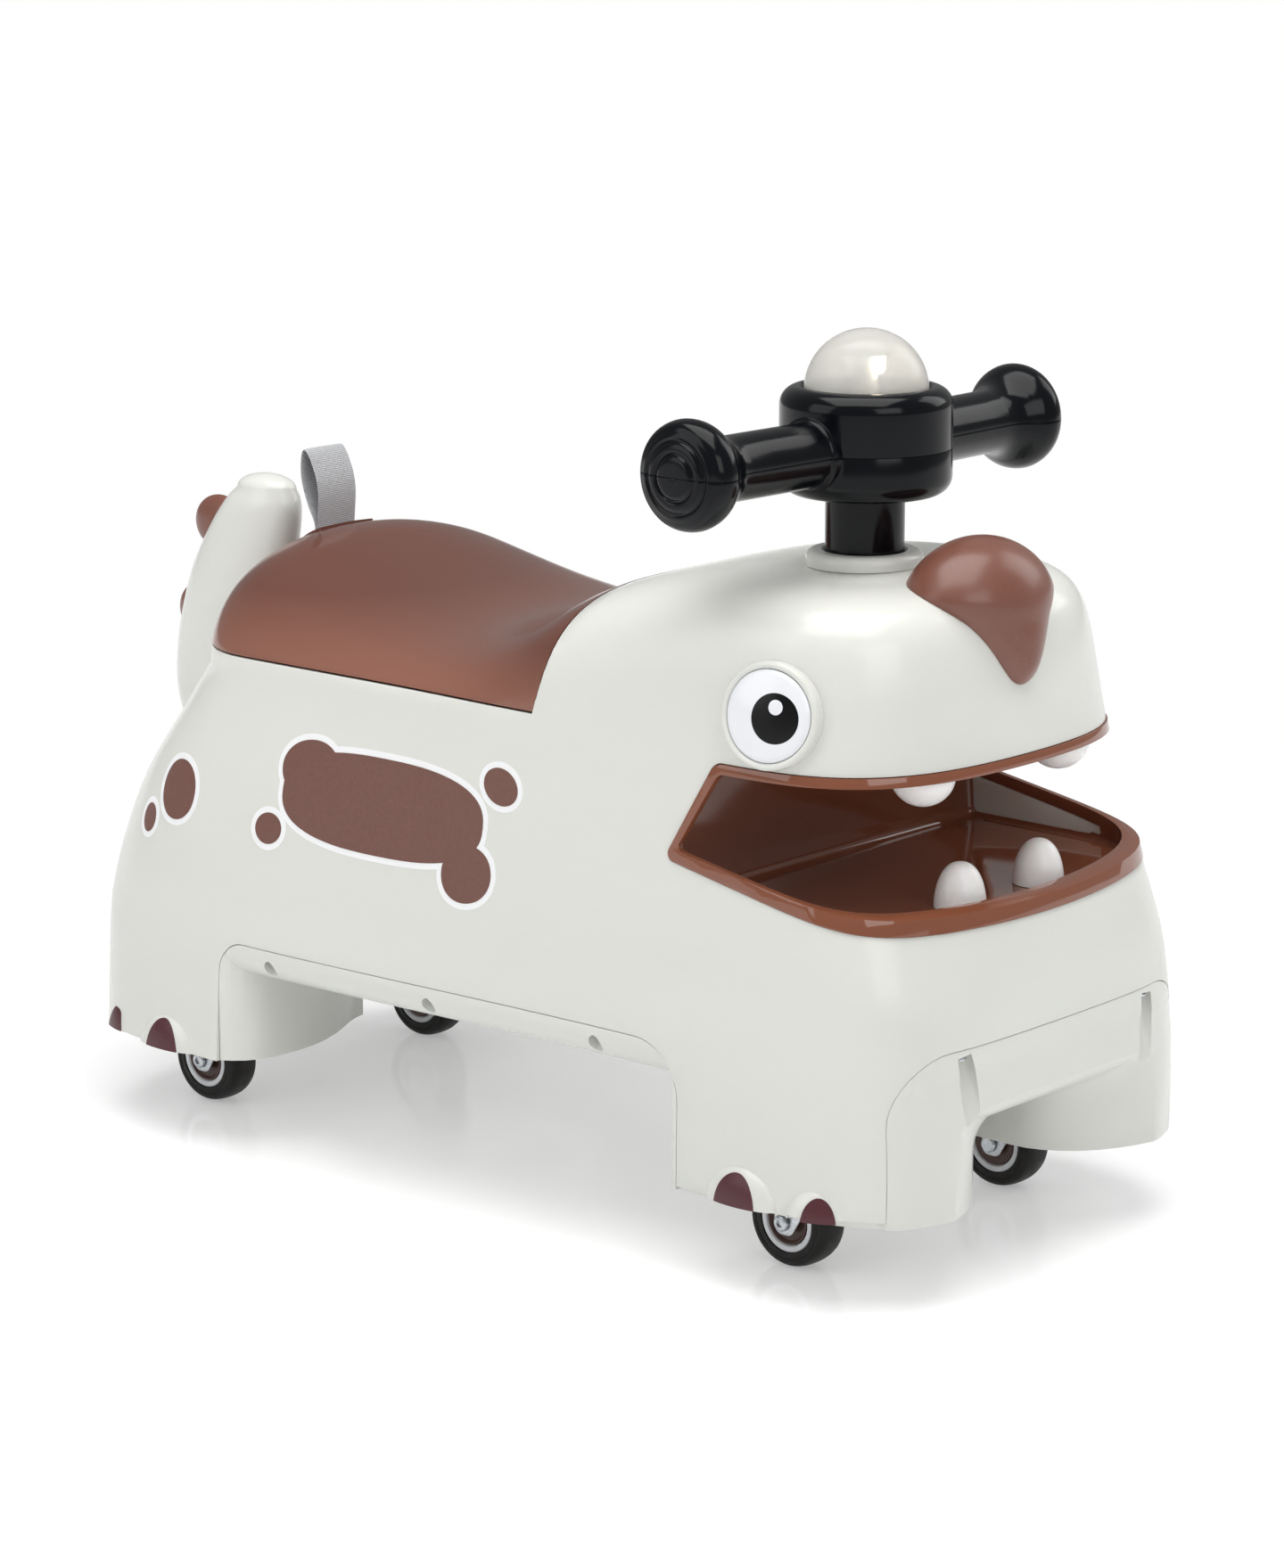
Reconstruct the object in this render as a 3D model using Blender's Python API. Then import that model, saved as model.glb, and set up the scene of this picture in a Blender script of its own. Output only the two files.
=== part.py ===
"""Ride-on toy dog with a storage seat, a lit handlebar and four swivel casters.

Metres, +Z up. The toy faces -Y, its left side is +X and it stands on z = 0.
Moving pieces have their origin on their joint's axis.
"""
import math

import bmesh
import bpy
from mathutils import Matrix, Vector

# Whole toy
WHEELBASE = 0.433
TRACK = 0.1745
BOX_SHIFT_Y = -0.0089
TOUCH_GAP = 0.0003
FIT_GAP = 0.0005

# Spans past the whole part, for tools that cut right through it
ACROSS = (-0.2, 0.2)
ALONG = (-0.4, 0.4)
ABOVE_Z = 0.45
OVERSHOOT = 0.05
OVERCUT = 0.01

# Body form: plan outlines at rising heights
FRONT_CENTRE_Y = -0.160
REAR_CENTRE_Y = 0.150
FOOT_BOTTOM_Z = 0.045
SHOULDER_Z = 0.262
WALL = 0.0026
# height, half width at the rear, half width at the front, front y, rear y, squareness front, squareness rear
BODY_LEVELS = (
    (0.045, 0.1570, 0.1415, -0.3190, 0.2875, 5.4, 3.5),
    (0.085, 0.1545, 0.1410, -0.3185, 0.2870, 5.4, 3.5),
    (0.130, 0.1505, 0.1395, -0.3175, 0.2850, 5.0, 3.4),
    (0.190, 0.1390, 0.1320, -0.3145, 0.2730, 3.4, 2.85),
    (0.235, 0.1285, 0.1255, -0.3020, 0.2470, 3.4, 2.4),
    (0.262, 0.1225, 0.1225, -0.2920, 0.2280, 3.4, 2.2),
)
LOWER_HEIGHTS = (0.085, 0.13, 0.165, 0.195, 0.22, 0.242, 0.262)
INNER_HEIGHTS = (0.045, 0.13, 0.19, 0.225, 0.262)
# Crown height along the middle, from the snout over the head and the seat to the rump
CROWN_PROFILE = (
    (-0.250, 0.3495), (-0.200, 0.3490), (-0.150, 0.3475), (-0.110, 0.3435),
    (-0.070, 0.3330), (-0.035, 0.3160), (0.000, 0.3035), (0.040, 0.2995),
    (0.090, 0.3070), (0.140, 0.3205), (0.180, 0.3320), (0.205, 0.3370), (0.225, 0.3385),
)
SHOULDER_SQUARENESS = ((-0.280, 5.6), (-0.180, 5.2), (-0.100, 4.0), (-0.030, 2.7), (0.040, 2.5), (0.200, 2.2))
# How far the shoulders lean in on their way up, as a part of their reach
SHOULDER_LEAN = ((-0.280, 0.105), (-0.180, 0.090), (-0.100, 0.060), (-0.030, 0.015), (0.040, 0.0))
CORNER_STEPS = 9
SIDE_STEPS = 7
SHOULDER_STEPS = 7
PASSAGE_STEPS = 3
INNER_STEPS = (7, 5, 5)

# Openings in the body
SEAT_EDGE_Z = 0.272
LID_FRONT_SIDE_Y = -0.064
LID_FRONT_MIDDLE_Y = -0.081
LID_FRONT_SQUARENESS = 4.5
LID_FRONT_STEPS = 5
LID_HALF_WIDTH = 0.122
MOUTH_REAR_LOW = (-0.1605, 0.2125)
MOUTH_REAR_HIGH = (-0.189, SHOULDER_Z)
MOUTH_FRONT_LOW_Z = 0.1765
# Where the mouth's lower edge reaches that height, ahead of the chin
MOUTH_OPEN_Y = -0.36
MOUTH_ROUNDS = (0.004, 0.008, 0, 0)
SIDE_ARCH_TOP_Z = 0.1205
SIDE_ARCH_Y = (-0.1810, 0.1560)
END_ARCH_HALF_WIDTH = 0.121
END_ARCH_TOP_Z = 0.131
ARCH_CORNER = 0.030
END_ARCH_CORNER = 0.046
# The body's lower edge stands a little higher at its front corners
FRONT_HEM_Y = -0.255
FRONT_HEM_RISE = 0.004

# Toes: where each swells out of the body, its turn about Z, and its half length, swell and height
TOES = (
    ((0.1400, -0.2244, 0.0), (0.0230, 0.0085, 0.0230)),
    ((0.1290, -0.2660, 45.0), (0.0180, 0.0075, 0.0190)),
    ((0.1545, 0.1810, 0.0), (0.0230, 0.0070, 0.0230)),
    ((0.1400, 0.2420, -33.0), (0.0180, 0.0070, 0.0190)),
)

# Base: a tray with four hollow legs
BASE_WALL = 0.0028
DECK_BOTTOM_Z = 0.101
DECK_TOP_Z = 0.140
DECK_EDGE_RADIUS = 0.018
DECK_EDGE_STEPS = 4
DECK_STEPS = (7, 4)
LEG_FLOOR_Z = 0.0552
LEG_FLOOR_THICKNESS = 0.003
APRON_BOTTOM_Z = 0.080
APRON_CORNER = 0.016
# Screw pockets that open at the base's edge: mouth, lean of the screw away from upright about X and Y, radius
SCREW_POCKETS = (
    ((0.1475, 0.1051, 0.1120), (0.0, -28.0), 0.0042), ((0.1425, -0.0091, 0.1110), (0.0, -28.0), 0.0042),
    ((0.1375, -0.1235, 0.1120), (0.0, -28.0), 0.0042), ((0.0757, -0.3155, 0.1135), (-19.0, 0.0), 0.0055),
)
POCKET_RISE = 0.012
POCKET_WALL = 0.0022
POCKET_SIDES = 6
POCKET_REACH = 0.04
# A pocket this near an end's y belongs to that end's legs
POCKET_END_REACH = 0.02

# The passage between the legs at each end: half width, y of the body's end, y of the apron's back,
# y of the legs' other face, reach and depth of the flare at the end, radius at the legs' other face
FRONT_PASSAGE = (0.031, -0.3185, -0.250, -0.178, 0.078, 0.055, 0.022)
REAR_PASSAGE = (0.036, 0.2872, 0.225, 0.134, 0.030, 0.030, 0.034)
APRON_FLARE_RISE = 0.28
# Run over which the passage steps up behind the apron
APRON_STEP = 0.003

# Casters
WHEEL_RADIUS = 0.025
WHEEL_WIDTH = 0.0195
WHEEL_SIDES = 16
CASTER_TRAIL = 0.0115
RING_RADIUS = 0.0165
HUB_RADIUS = 0.0126
BOLT_RADIUS = 0.0026
FORK_GAP = 0.0012
FORK_PLATE = 0.0016
FORK_TOP_Z = 0.0538
STEM_RADIUS = 0.0045
STEM_TOP_Z = 0.086
SOCKET_RADIUS = 0.0072
BOSS_RADIUS = 0.0115
CASTER_SIDES = 10
CASTER_PIVOT_Z = 0.05
SOCKET_FLANGE = 0.0008
SOCKET_BRIM = 0.002
# Half lengths of the fork's side plate at its crown, waist and toe
FORK_HALF_LENGTHS = (0.011, 0.009, 0.0055)
FORK_WAIST_Z = 0.044
FORK_HEEL_Z = 0.036
FORK_TOE_Z = 0.0185
FORK_ROUND = 0.004
BOLT_HEAD_RADIUS = 0.0044
BOLT_CROWN_RADIUS = 0.0040
BOLT_HEAD_HEIGHT = 0.0022
BOLT_SOCKET_RADIUS = 0.0018
BOLT_SOCKET_DEPTH = 0.0012
HUB_NOSE_RADIUS = 0.0058
HUB_DISH = 0.0022
HUB_RIM = 0.0015
HUB_SETBACK = 0.0008
HUB_NOSE_DRAFT = 0.0004
RING_SETBACK = 0.0005
# Rounding of the tread: how far below the crown, and how far in from the side
TREAD_SHOULDER = ((0.0038, 0.0), (0.0008, 0.0026), (0.0, 0.0068))
BOSS_TOP_Z = 0.088

# Steering
STEER_Y = -0.1853
COLUMN_RADIUS = 0.0205
COLUMN_SIDES = 22
LIGHT_SIDES = 18
COLUMN_WALL = 0.003
SLEEVE_WALL = 0.0025
COLLAR_RADIUS = 0.0305
COLLAR_RISE = 0.0075
COLLAR_TOP_Z = CROWN_PROFILE[1][1] + COLLAR_RISE
COLLAR_HEIGHT = 0.0165
COLLAR_DRAFT = 0.001
# Rounded top of the collar: how far in and how far down each corner lies
COLLAR_BEAD = ((0.0, 0.0050), (0.0010, 0.0020), (0.0035, 0.0))
COLLAR_FOOT_Z = COLLAR_TOP_Z - COLLAR_HEIGHT
SLEEVE_LENGTH = 0.0595
SLEEVE_BOTTOM_Z = COLLAR_TOP_Z - SLEEVE_LENGTH
CLIP_GROOVE_WIDTH = 0.0035
CLIP_GROOVE_Z = SLEEVE_BOTTOM_Z - CLIP_GROOVE_WIDTH
CLIP_GROOVE_DEPTH = 0.0012
CLIP_PROUD = 0.0045
COLUMN_TAIL = 0.0025
COLUMN_BOTTOM_Z = CLIP_GROOVE_Z - COLUMN_TAIL
COLUMN_SHOWN = 0.0290
HUB_DRUM_RADIUS = 0.0445
HUB_DRUM_BOTTOM_Z = COLLAR_TOP_Z + COLUMN_SHOWN
HUB_DRUM_HEIGHT = 0.0555
HUB_DRUM_TOP_Z = HUB_DRUM_BOTTOM_Z + HUB_DRUM_HEIGHT
HUB_DRUM_WALL = 0.0035
HUB_FOOT_ROUND = 0.0075
HUB_TOP_ROUND = 0.0060
BAR_RISE = 0.0244
BAR_Z = HUB_DRUM_BOTTOM_Z + BAR_RISE
BAR_RADIUS = 0.0168
BAR_HALF_LENGTH = 0.1450
BAR_SWEEP = 0.034
# Radius of the knob, and how far in from the bar's end
KNOB_PROFILE = (
    (0, 0), (0.0130, 0.0006), (0.0215, 0.0038), (0.0230, 0.0034), (0.0265, 0.0064), (0.0280, 0.0120),
    (0.0264, 0.0195), (0.0215, 0.0285), (BAR_RADIUS, 0.0410),
)
DOME_RADIUS = 0.0322
DOME_SINK = 0.0031
DOME_CENTRE_Z = HUB_DRUM_TOP_Z - DOME_SINK
DOME_WALL = 0.0020
DOME_TRAVEL = 0.003
DOME_FLANGE = 0.0028
DOME_FLANGE_GAP = 0.001
POST_RADIUS = 0.006
TRAY_RISE = 0.0130
TRAY_Z = HUB_DRUM_BOTTOM_Z + TRAY_RISE
CELL_RADIUS = 0.0058
CELL_HEIGHT = 0.0054
CELL_CIRCLE = 0.021
TRAY_FLOOR = 0.002
BOARD_RADIUS = 0.0125
BOARD_THICKNESS = 0.0012
LAMP_RADIUS = 0.0025
LAMP_DROP = 0.0088
POST_RISE = 0.0185
HUB_LIP = 0.005
SPRING_RADIUS = 0.0345
SPRING_WIRE = 0.0006
SPRING_TURNS = 2.5

# Storage bin under the seat
BIN_HALF_WIDTH = 0.092
BIN_Y = (-0.052, 0.186)
BIN_FLOOR_Z = 0.152
BIN_RIM_Z = 0.2665
BIN_WALL = 0.002
BIN_CORNER = 0.03
BULKHEAD_SETBACK = 0.006

# Lid and strap
LID_THICKNESS = 0.003
LID_GAP = 0.00045
LID_FORM_BOTTOM_Z = 0.2
LID_STEPS = (8, 12, 8)
LID_HOLLOW_STEPS = (6, 8, 5)
STRAP_WIDTH = 0.030
STRAP_THICKNESS = 0.0012
STRAP_FOOT_Y = (0.2000, 0.2032)
STRAP_END_Z = 0.3155
# Outside of the loop in the side view, from the front strand over the top to the rear strand
STRAP_LOOP = (
    (0.2000, 0.3260), (0.1988, 0.3420), (0.2002, 0.3526), (0.2042, 0.3622), (0.2074, 0.3672),
    (0.2102, 0.3690), (0.2126, 0.3668), (0.2138, 0.3594), (0.2130, 0.3494), (0.2086, 0.3370),
    (0.2032, 0.3260),
)
STRAP_PAD_RISE = 0.0015
STRAP_PAD_MARGIN = 0.008
ANCHOR_FLOOR = 0.0045
ANCHOR_BOTTOM_Z = STRAP_END_Z - ANCHOR_FLOOR

# Mouth liner and teeth
LIP_BAND = 0.0055
LINER_FLOOR_Z = 0.1800
LINER_BACK_Y = -0.160
LINER_SHEET = 0.0022
LIP_PROUD = 0.0008
# Width of the band behind the mouth, at its lower and its upper corner
LIP_REAR_BANDS = (0.0077, 0.0033)
LIP_ROUNDS = (0.003, 0.006, 0, 0)
LIP_FORM_BOTTOM_Z = 0.10
LIP_STEPS = (10, 4, 2)
LIP_HEIGHTS = (0.13, 0.16, 0.19, 0.215, 0.24, 0.262)
UPPER_TOOTH = (0.0605, -0.2700)
UPPER_TOOTH_RADIUS = 0.0165
UPPER_TOOTH_TIP_Z = 0.2423
LOWER_TOOTH = (0.0329, -0.2775)
LOWER_TOOTH_RADIUS = 0.0145
LOWER_TOOTH_TIP_Z = 0.2120
LOWER_TOOTH_FULLNESS = 0.85

# Face
EYE_PLACE = (0.1190, -0.2250, 0.2950)
EYE_TURN = math.radians(11)
EYE_LEAN = math.radians(8)
EYE_RING_RADIUS = 0.0295
EYE_DISC_RADIUS = 0.0253
EYE_DEPTH = 0.012
EYE_PROUD = 0.0036
EYE_DOMING = 0.0027
EYE_SIDES = 18
# The ring's outer edge height, and how far in its crest lies and how high
EYE_RING_EDGE = 0.0022
EYE_RING_CREST = (0.0016, 0.0034)
# Where the disc turns down to its rim, as parts of its radius and doming
EYE_DISC_SHOULDER = (0.75, 0.6)
NOSE_CENTRE = (0.0, -0.2590, 0.3330)
NOSE_REACH = (0.0435, 0.0420, 0.0390)
NOSE_TIP_NARROWING = 0.62
NOSE_TIP_THINNING = 0.35
NOSE_TIP_FORWARD = 0.026
NOSE_NARROWING_POWER = 0.8
NOSE_FORWARD_POWER = 1.3

# Tail: middle y, height, half width and half depth of each section
TAIL_PATH = (
    (0.2450, 0.160, 0.0300, 0.0340), (0.2700, 0.180, 0.0280, 0.0360), (0.2885, 0.210, 0.0260, 0.0375),
    (0.2895, 0.245, 0.0245, 0.0375), (0.2795, 0.285, 0.0220, 0.0370), (0.2675, 0.315, 0.0190, 0.0325),
    (0.2580, 0.335, 0.0155, 0.0230), (0.2545, 0.345, 0.0100, 0.0125),
)
TAIL_SIDES = 16
TAIL_SKIN_BOTTOM_Z = 0.1
TAIL_TIP_RISE = 0.004
TAIL_SPIKES = (("upper", (0, 0.2970, 0.3150), 0.020), ("lower", (0, 0.3180, 0.2590), 0.018))
SPIKE_HALF_WIDTH = 0.0075
SPIKE_HALF_HEIGHT = 0.0165


def material(name, colour, roughness, metallic=0.0, transmission=0.0):
    made = bpy.data.materials.new(name)
    made.use_nodes = True
    shader = made.node_tree.nodes["Principled BSDF"]
    shader.inputs["Base Color"].default_value = (*colour, 1.0)
    shader.inputs["Roughness"].default_value = roughness
    shader.inputs["Metallic"].default_value = metallic
    shader.inputs["Transmission Weight"].default_value = transmission
    made.diffuse_color = (*colour, 1.0)
    return made


def smooth_through(points, at):
    """Value at `at` of a smooth curve through (position, value) points, held flat past its ends."""
    if at <= points[0][0]:
        return points[0][1]
    if at >= points[-1][0]:
        return points[-1][1]
    slopes = []
    for index, (place, value) in enumerate(points):
        before = points[max(index - 1, 0)]
        after = points[min(index + 1, len(points) - 1)]
        slopes.append((after[1] - before[1]) / (after[0] - before[0]))
    for index in range(len(points) - 1):
        start, end = points[index], points[index + 1]
        if at <= end[0]:
            break
    span = end[0] - start[0]
    t = (at - start[0]) / span
    rise = (2 * t**3 - 3 * t**2 + 1) * start[1] + (3 * t**2 - 2 * t**3) * end[1]
    lean = (t**3 - 2 * t**2 + t) * slopes[index] + (t**3 - t**2) * slopes[index + 1]
    return rise + span * lean


def level_value(column, height):
    return smooth_through([(row[0], row[column]) for row in BODY_LEVELS], height)


def superellipse(angle, squareness):
    """Unit point of a superellipse, from (1, 0) at 0 to (0, 1) at a quarter turn."""
    return math.cos(angle) ** (2 / squareness), math.sin(angle) ** (2 / squareness)


def half_outline(height, inset, corner_steps, side_steps):
    """Right half of the plan outline at a height, from the middle of the front to that of the rear."""
    rear_width = level_value(1, height) - inset
    front_width = level_value(2, height) - inset
    front_reach = FRONT_CENTRE_Y - level_value(3, height) - inset
    rear_reach = level_value(4, height) - inset - REAR_CENTRE_Y
    points = []
    for step in range(corner_steps + 1):
        side, along = superellipse(math.pi / 2 * (1 - step / corner_steps), level_value(5, height))
        points.append((front_width * side, FRONT_CENTRE_Y - front_reach * along))
    for step in range(1, side_steps):
        t = step / side_steps
        blend = t * t * (3 - 2 * t)
        width = front_width + (rear_width - front_width) * blend
        points.append((width, FRONT_CENTRE_Y + (REAR_CENTRE_Y - FRONT_CENTRE_Y) * t))
    for step in range(corner_steps + 1):
        side, along = superellipse(math.pi / 2 * step / corner_steps, level_value(6, height))
        points.append((rear_width * side, REAR_CENTRE_Y + rear_reach * along))
    points[0] = (0.0, points[0][1])
    points[-1] = (0.0, points[-1][1])
    return points


def body_form(name, inset, bottom, corner_steps=CORNER_STEPS, side_steps=SIDE_STEPS,
              shoulder_steps=SHOULDER_STEPS, lower_heights=LOWER_HEIGHTS):
    """The dog's closed body solid, drawn in by `inset`, flat at `bottom`."""
    mesh = bmesh.new()
    heights = [bottom] + [height for height in lower_heights if height > bottom + 0.01]
    rings = []
    for height in heights:
        half = half_outline(max(height, FOOT_BOTTOM_Z), inset, corner_steps, side_steps)
        rings.append([(x, y, height) for x, y in half])
    edge = half_outline(SHOULDER_Z, inset, corner_steps, side_steps)
    for step in range(1, shoulder_steps + 1):
        angle = math.pi / 2 * step / shoulder_steps
        ring = []
        for x, y in edge:
            reach, rise = superellipse(angle, smooth_through(SHOULDER_SQUARENESS, y))
            reach *= 1 - smooth_through(SHOULDER_LEAN, y) * rise
            if step == shoulder_steps:
                reach, rise = 0.0, 1.0
            spine_y = min(max(y, FRONT_CENTRE_Y), REAR_CENTRE_Y)
            place_y = spine_y + (y - spine_y) * reach
            crown = smooth_through(CROWN_PROFILE, place_y) - inset
            ring.append((x * reach, place_y, SHOULDER_Z + (crown - SHOULDER_Z) * rise))
        rings.append(ring)
    made = {}

    def vertex(place):
        key = tuple(round(value, 6) for value in place)
        if key not in made:
            made[key] = mesh.verts.new(place)
        return made[key]

    def face(places):
        corners = []
        for place in places:
            corner = vertex(place)
            if corner not in corners:
                corners.append(corner)
        if len(corners) > 2:
            mesh.faces.new(corners)

    for lower, upper in zip(rings, rings[1:]):
        for index in range(len(lower) - 1):
            quad = (lower[index], lower[index + 1], upper[index + 1], upper[index])
            face(quad)
            face([(-x, y, z) for x, y, z in reversed(quad)])
    bottom_ring = rings[0]
    left = [(-x, y, z) for x, y, z in reversed(bottom_ring[1:-1])]
    face(list(reversed(bottom_ring + left)))
    bmesh.ops.recalc_face_normals(mesh, faces=mesh.faces)
    bmesh.ops.triangulate(mesh, faces=mesh.faces)
    return mesh_object(name, mesh)


def inner_form(name, inset):
    """A coarser body solid; the hollow and what sits against it are made alike so that they stay parallel."""
    return body_form(name, inset, 0.0, *INNER_STEPS, INNER_HEIGHTS)


def outer_skin(name, bottom=0.2):
    """The body's outside with a touching gap, to cut the foot of whatever sits on it."""
    return body_form(name, -TOUCH_GAP, bottom)


def mesh_object(name, mesh):
    data = bpy.data.meshes.new(name)
    mesh.to_mesh(data)
    mesh.free()
    made = bpy.data.objects.new(name, data)
    bpy.context.scene.collection.objects.link(made)
    return made


def hide_cutter(cutter):
    cutter.hide_render = True
    cutter.display_type = "WIRE"


def combine(target, tool, operation="DIFFERENCE"):
    """Adds a live Boolean of `tool` to `target` and keeps `tool` as a guide."""
    change = target.modifiers.new(operation.title() + " " + tool.name, "BOOLEAN")
    change.operation = operation
    change.object = tool
    change.solver = "EXACT"
    hide_cutter(tool)
    return target


def rounded(corners, radii, steps=5):
    """A closed outline with each corner rounded by an arc of its own radius, 0 for a sharp one."""
    points = []
    count = len(corners)
    for index in range(count):
        corner = Vector(corners[index])
        radius = radii[index] if isinstance(radii, (list, tuple)) else radii
        if radius == 0:
            points.append(tuple(corner))
            continue
        back = (Vector(corners[index - 1]) - corner).normalized()
        ahead = (Vector(corners[(index + 1) % count]) - corner).normalized()
        half = back.angle(ahead) / 2
        setback = radius / math.tan(half)
        centre = corner + (back + ahead).normalized() * radius / math.sin(half)
        start = corner + back * setback - centre
        end = corner + ahead * setback - centre
        sweep = start.angle_signed(end)
        for step in range(steps + 1):
            turn = -sweep * step / steps
            cos, sin = math.cos(turn), math.sin(turn)
            points.append((centre.x + start.x * cos - start.y * sin,
                           centre.y + start.x * sin + start.y * cos))
    return points


def prism(name, outline, axis, low, high):
    """A closed solid: its outline, in the two other axes in XYZ order, runs from low to high."""
    mesh = bmesh.new()

    def place(point, along):
        first, second = point
        return {"X": (along, first, second), "Y": (first, along, second), "Z": (first, second, along)}[axis]

    ends = [[mesh.verts.new(place(point, along)) for point in outline] for along in (low, high)]
    count = len(outline)
    for index in range(count):
        after = (index + 1) % count
        mesh.faces.new((ends[0][index], ends[0][after], ends[1][after], ends[1][index]))
    mesh.faces.new(ends[0])
    mesh.faces.new(ends[1])
    bmesh.ops.recalc_face_normals(mesh, faces=mesh.faces)
    return mesh_object(name, mesh)


def box(name, x_span, y_span, z_span):
    corners = [(x_span[0], y_span[0]), (x_span[1], y_span[0]), (x_span[1], y_span[1]), (x_span[0], y_span[1])]
    return prism(name, corners, "Z", *z_span)


def turned(name, profile, steps, centre=(0, 0, 0), axis="Z", closed=False):
    """A solid of revolution from (radius, height) points. A closed profile makes a ring."""
    mesh = bmesh.new()
    rings = []
    for radius, height in profile:
        if radius < 1e-7:
            rings.append([mesh.verts.new((0, 0, height))])
            continue
        ring = []
        for step in range(steps):
            angle = 2 * math.pi * (step + 0.5) / steps
            ring.append(mesh.verts.new((radius * math.cos(angle), radius * math.sin(angle), height)))
        rings.append(ring)
    pairs = list(zip(rings, rings[1:]))
    if closed:
        pairs.append((rings[-1], rings[0]))
    for lower, upper in pairs:
        for step in range(steps):
            after = (step + 1) % steps
            corners = [lower[step % len(lower)], lower[after % len(lower)],
                       upper[after % len(upper)], upper[step % len(upper)]]
            distinct = list(dict.fromkeys(corners))
            if len(distinct) > 2:
                mesh.faces.new(distinct)
    bmesh.ops.recalc_face_normals(mesh, faces=mesh.faces)
    turn = {"Z": Matrix.Identity(3), "X": Matrix(((0, 0, 1), (1, 0, 0), (0, 1, 0)))}[axis]
    for vertex in mesh.verts:
        vertex.co = turn @ vertex.co + Vector(centre)
    return mesh_object(name, mesh)


def rod(name, radius, low, high, steps, centre=(0, 0, 0), axis="Z"):
    return turned(name, [(0, low), (radius, low), (radius, high), (0, high)], steps, centre, axis)


def arc(centre, radius, start, end, steps):
    """Points of an arc in a profile, angles in degrees."""
    points = []
    for step in range(steps + 1):
        angle = math.radians(start + (end - start) * step / steps)
        points.append((centre[0] + radius * math.cos(angle), centre[1] + radius * math.sin(angle)))
    return points


def finish(made, look, smooth_angle=40):
    made.data.materials.clear()
    made.data.materials.append(look)
    made.data.shade_smooth()
    made.data.set_sharp_from_angle(angle=math.radians(smooth_angle))
    return made


def pivot(made, place):
    """Moves an object's origin to a place without moving its mesh."""
    made.data.transform(Matrix.Translation(-Vector(place)))
    made.location = place
    return made


def mouth_outline(margin):
    """Side view of the mouth as (y, z), larger than the drawn mouth by `margin`."""
    rear_low, rear_high = MOUTH_REAR_LOW, MOUTH_REAR_HIGH
    return rounded([
        (rear_low[0] + margin, rear_low[1] - margin),
        (rear_high[0] + margin, rear_high[1] + margin),
        (MOUTH_OPEN_Y, rear_high[1] + margin),
        (MOUTH_OPEN_Y, MOUTH_FRONT_LOW_Z - margin),
    ], MOUTH_ROUNDS, 3)


def lid_zone(name, margin):
    """The block of space above the seat edge that the lid fills, with its curved front."""
    reach = LID_FRONT_SIDE_Y - LID_FRONT_MIDDLE_Y
    quarter = [superellipse(math.pi / 2 * step / LID_FRONT_STEPS, LID_FRONT_SQUARENESS)
               for step in range(LID_FRONT_STEPS + 1)]
    right = [(LID_HALF_WIDTH * side, LID_FRONT_SIDE_Y - reach * ahead + margin) for side, ahead in quarter]
    left = [(-x, y) for x, y in right]
    front = [(ACROSS[0], LID_FRONT_SIDE_Y + margin)] + left + list(reversed(right[:-1]))
    front.append((ACROSS[1], LID_FRONT_SIDE_Y + margin))
    rear = [(ACROSS[1], ALONG[1]), (ACROSS[0], ALONG[1])]
    return prism(name, front + rear, "Z", SEAT_EDGE_Z + margin, ABOVE_Z)


def arch_outline(low, high, top, bottom, radius, steps=6):
    return rounded([(low, bottom), (low, top), (high, top), (high, bottom)], [0, radius, radius, 0], steps)


def swell(name, place, reach, side):
    """Upper half of an ellipsoid that swells sideways out of the body at its lower edge."""
    x, y, turn = place
    mesh = bmesh.new()
    bmesh.ops.create_uvsphere(mesh, u_segments=10, v_segments=8, radius=1)
    for vertex in mesh.verts:
        vertex.co = Vector((vertex.co.x * reach[1], vertex.co.y * reach[0], vertex.co.z * reach[2]))
    toe = mesh_object(name, mesh)
    facing = Matrix.Rotation(math.radians(-turn * side), 4, "Z")
    toe.data.transform(Matrix.Translation((side * x, y, FOOT_BOTTOM_Z)) @ facing)
    combine(toe, box(name + "_under", ACROSS, ALONG, (0.0, FOOT_BOTTOM_Z)))
    return toe


def pocket_rod(name, pocket, side, radius, above):
    """A rod on one screw's line, from well under the pocket's mouth to `above` over it."""
    (x, y, z), (about_x, about_y), _ = pocket
    made = rod(name, radius, -POCKET_REACH, above, POCKET_SIDES)
    lean = Matrix.Rotation(math.radians(about_x), 4, "X")
    lean = lean @ Matrix.Rotation(math.radians(about_y * side), 4, "Y")
    made.data.transform(Matrix.Translation((side * x, y, z)) @ lean)
    return made


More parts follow.
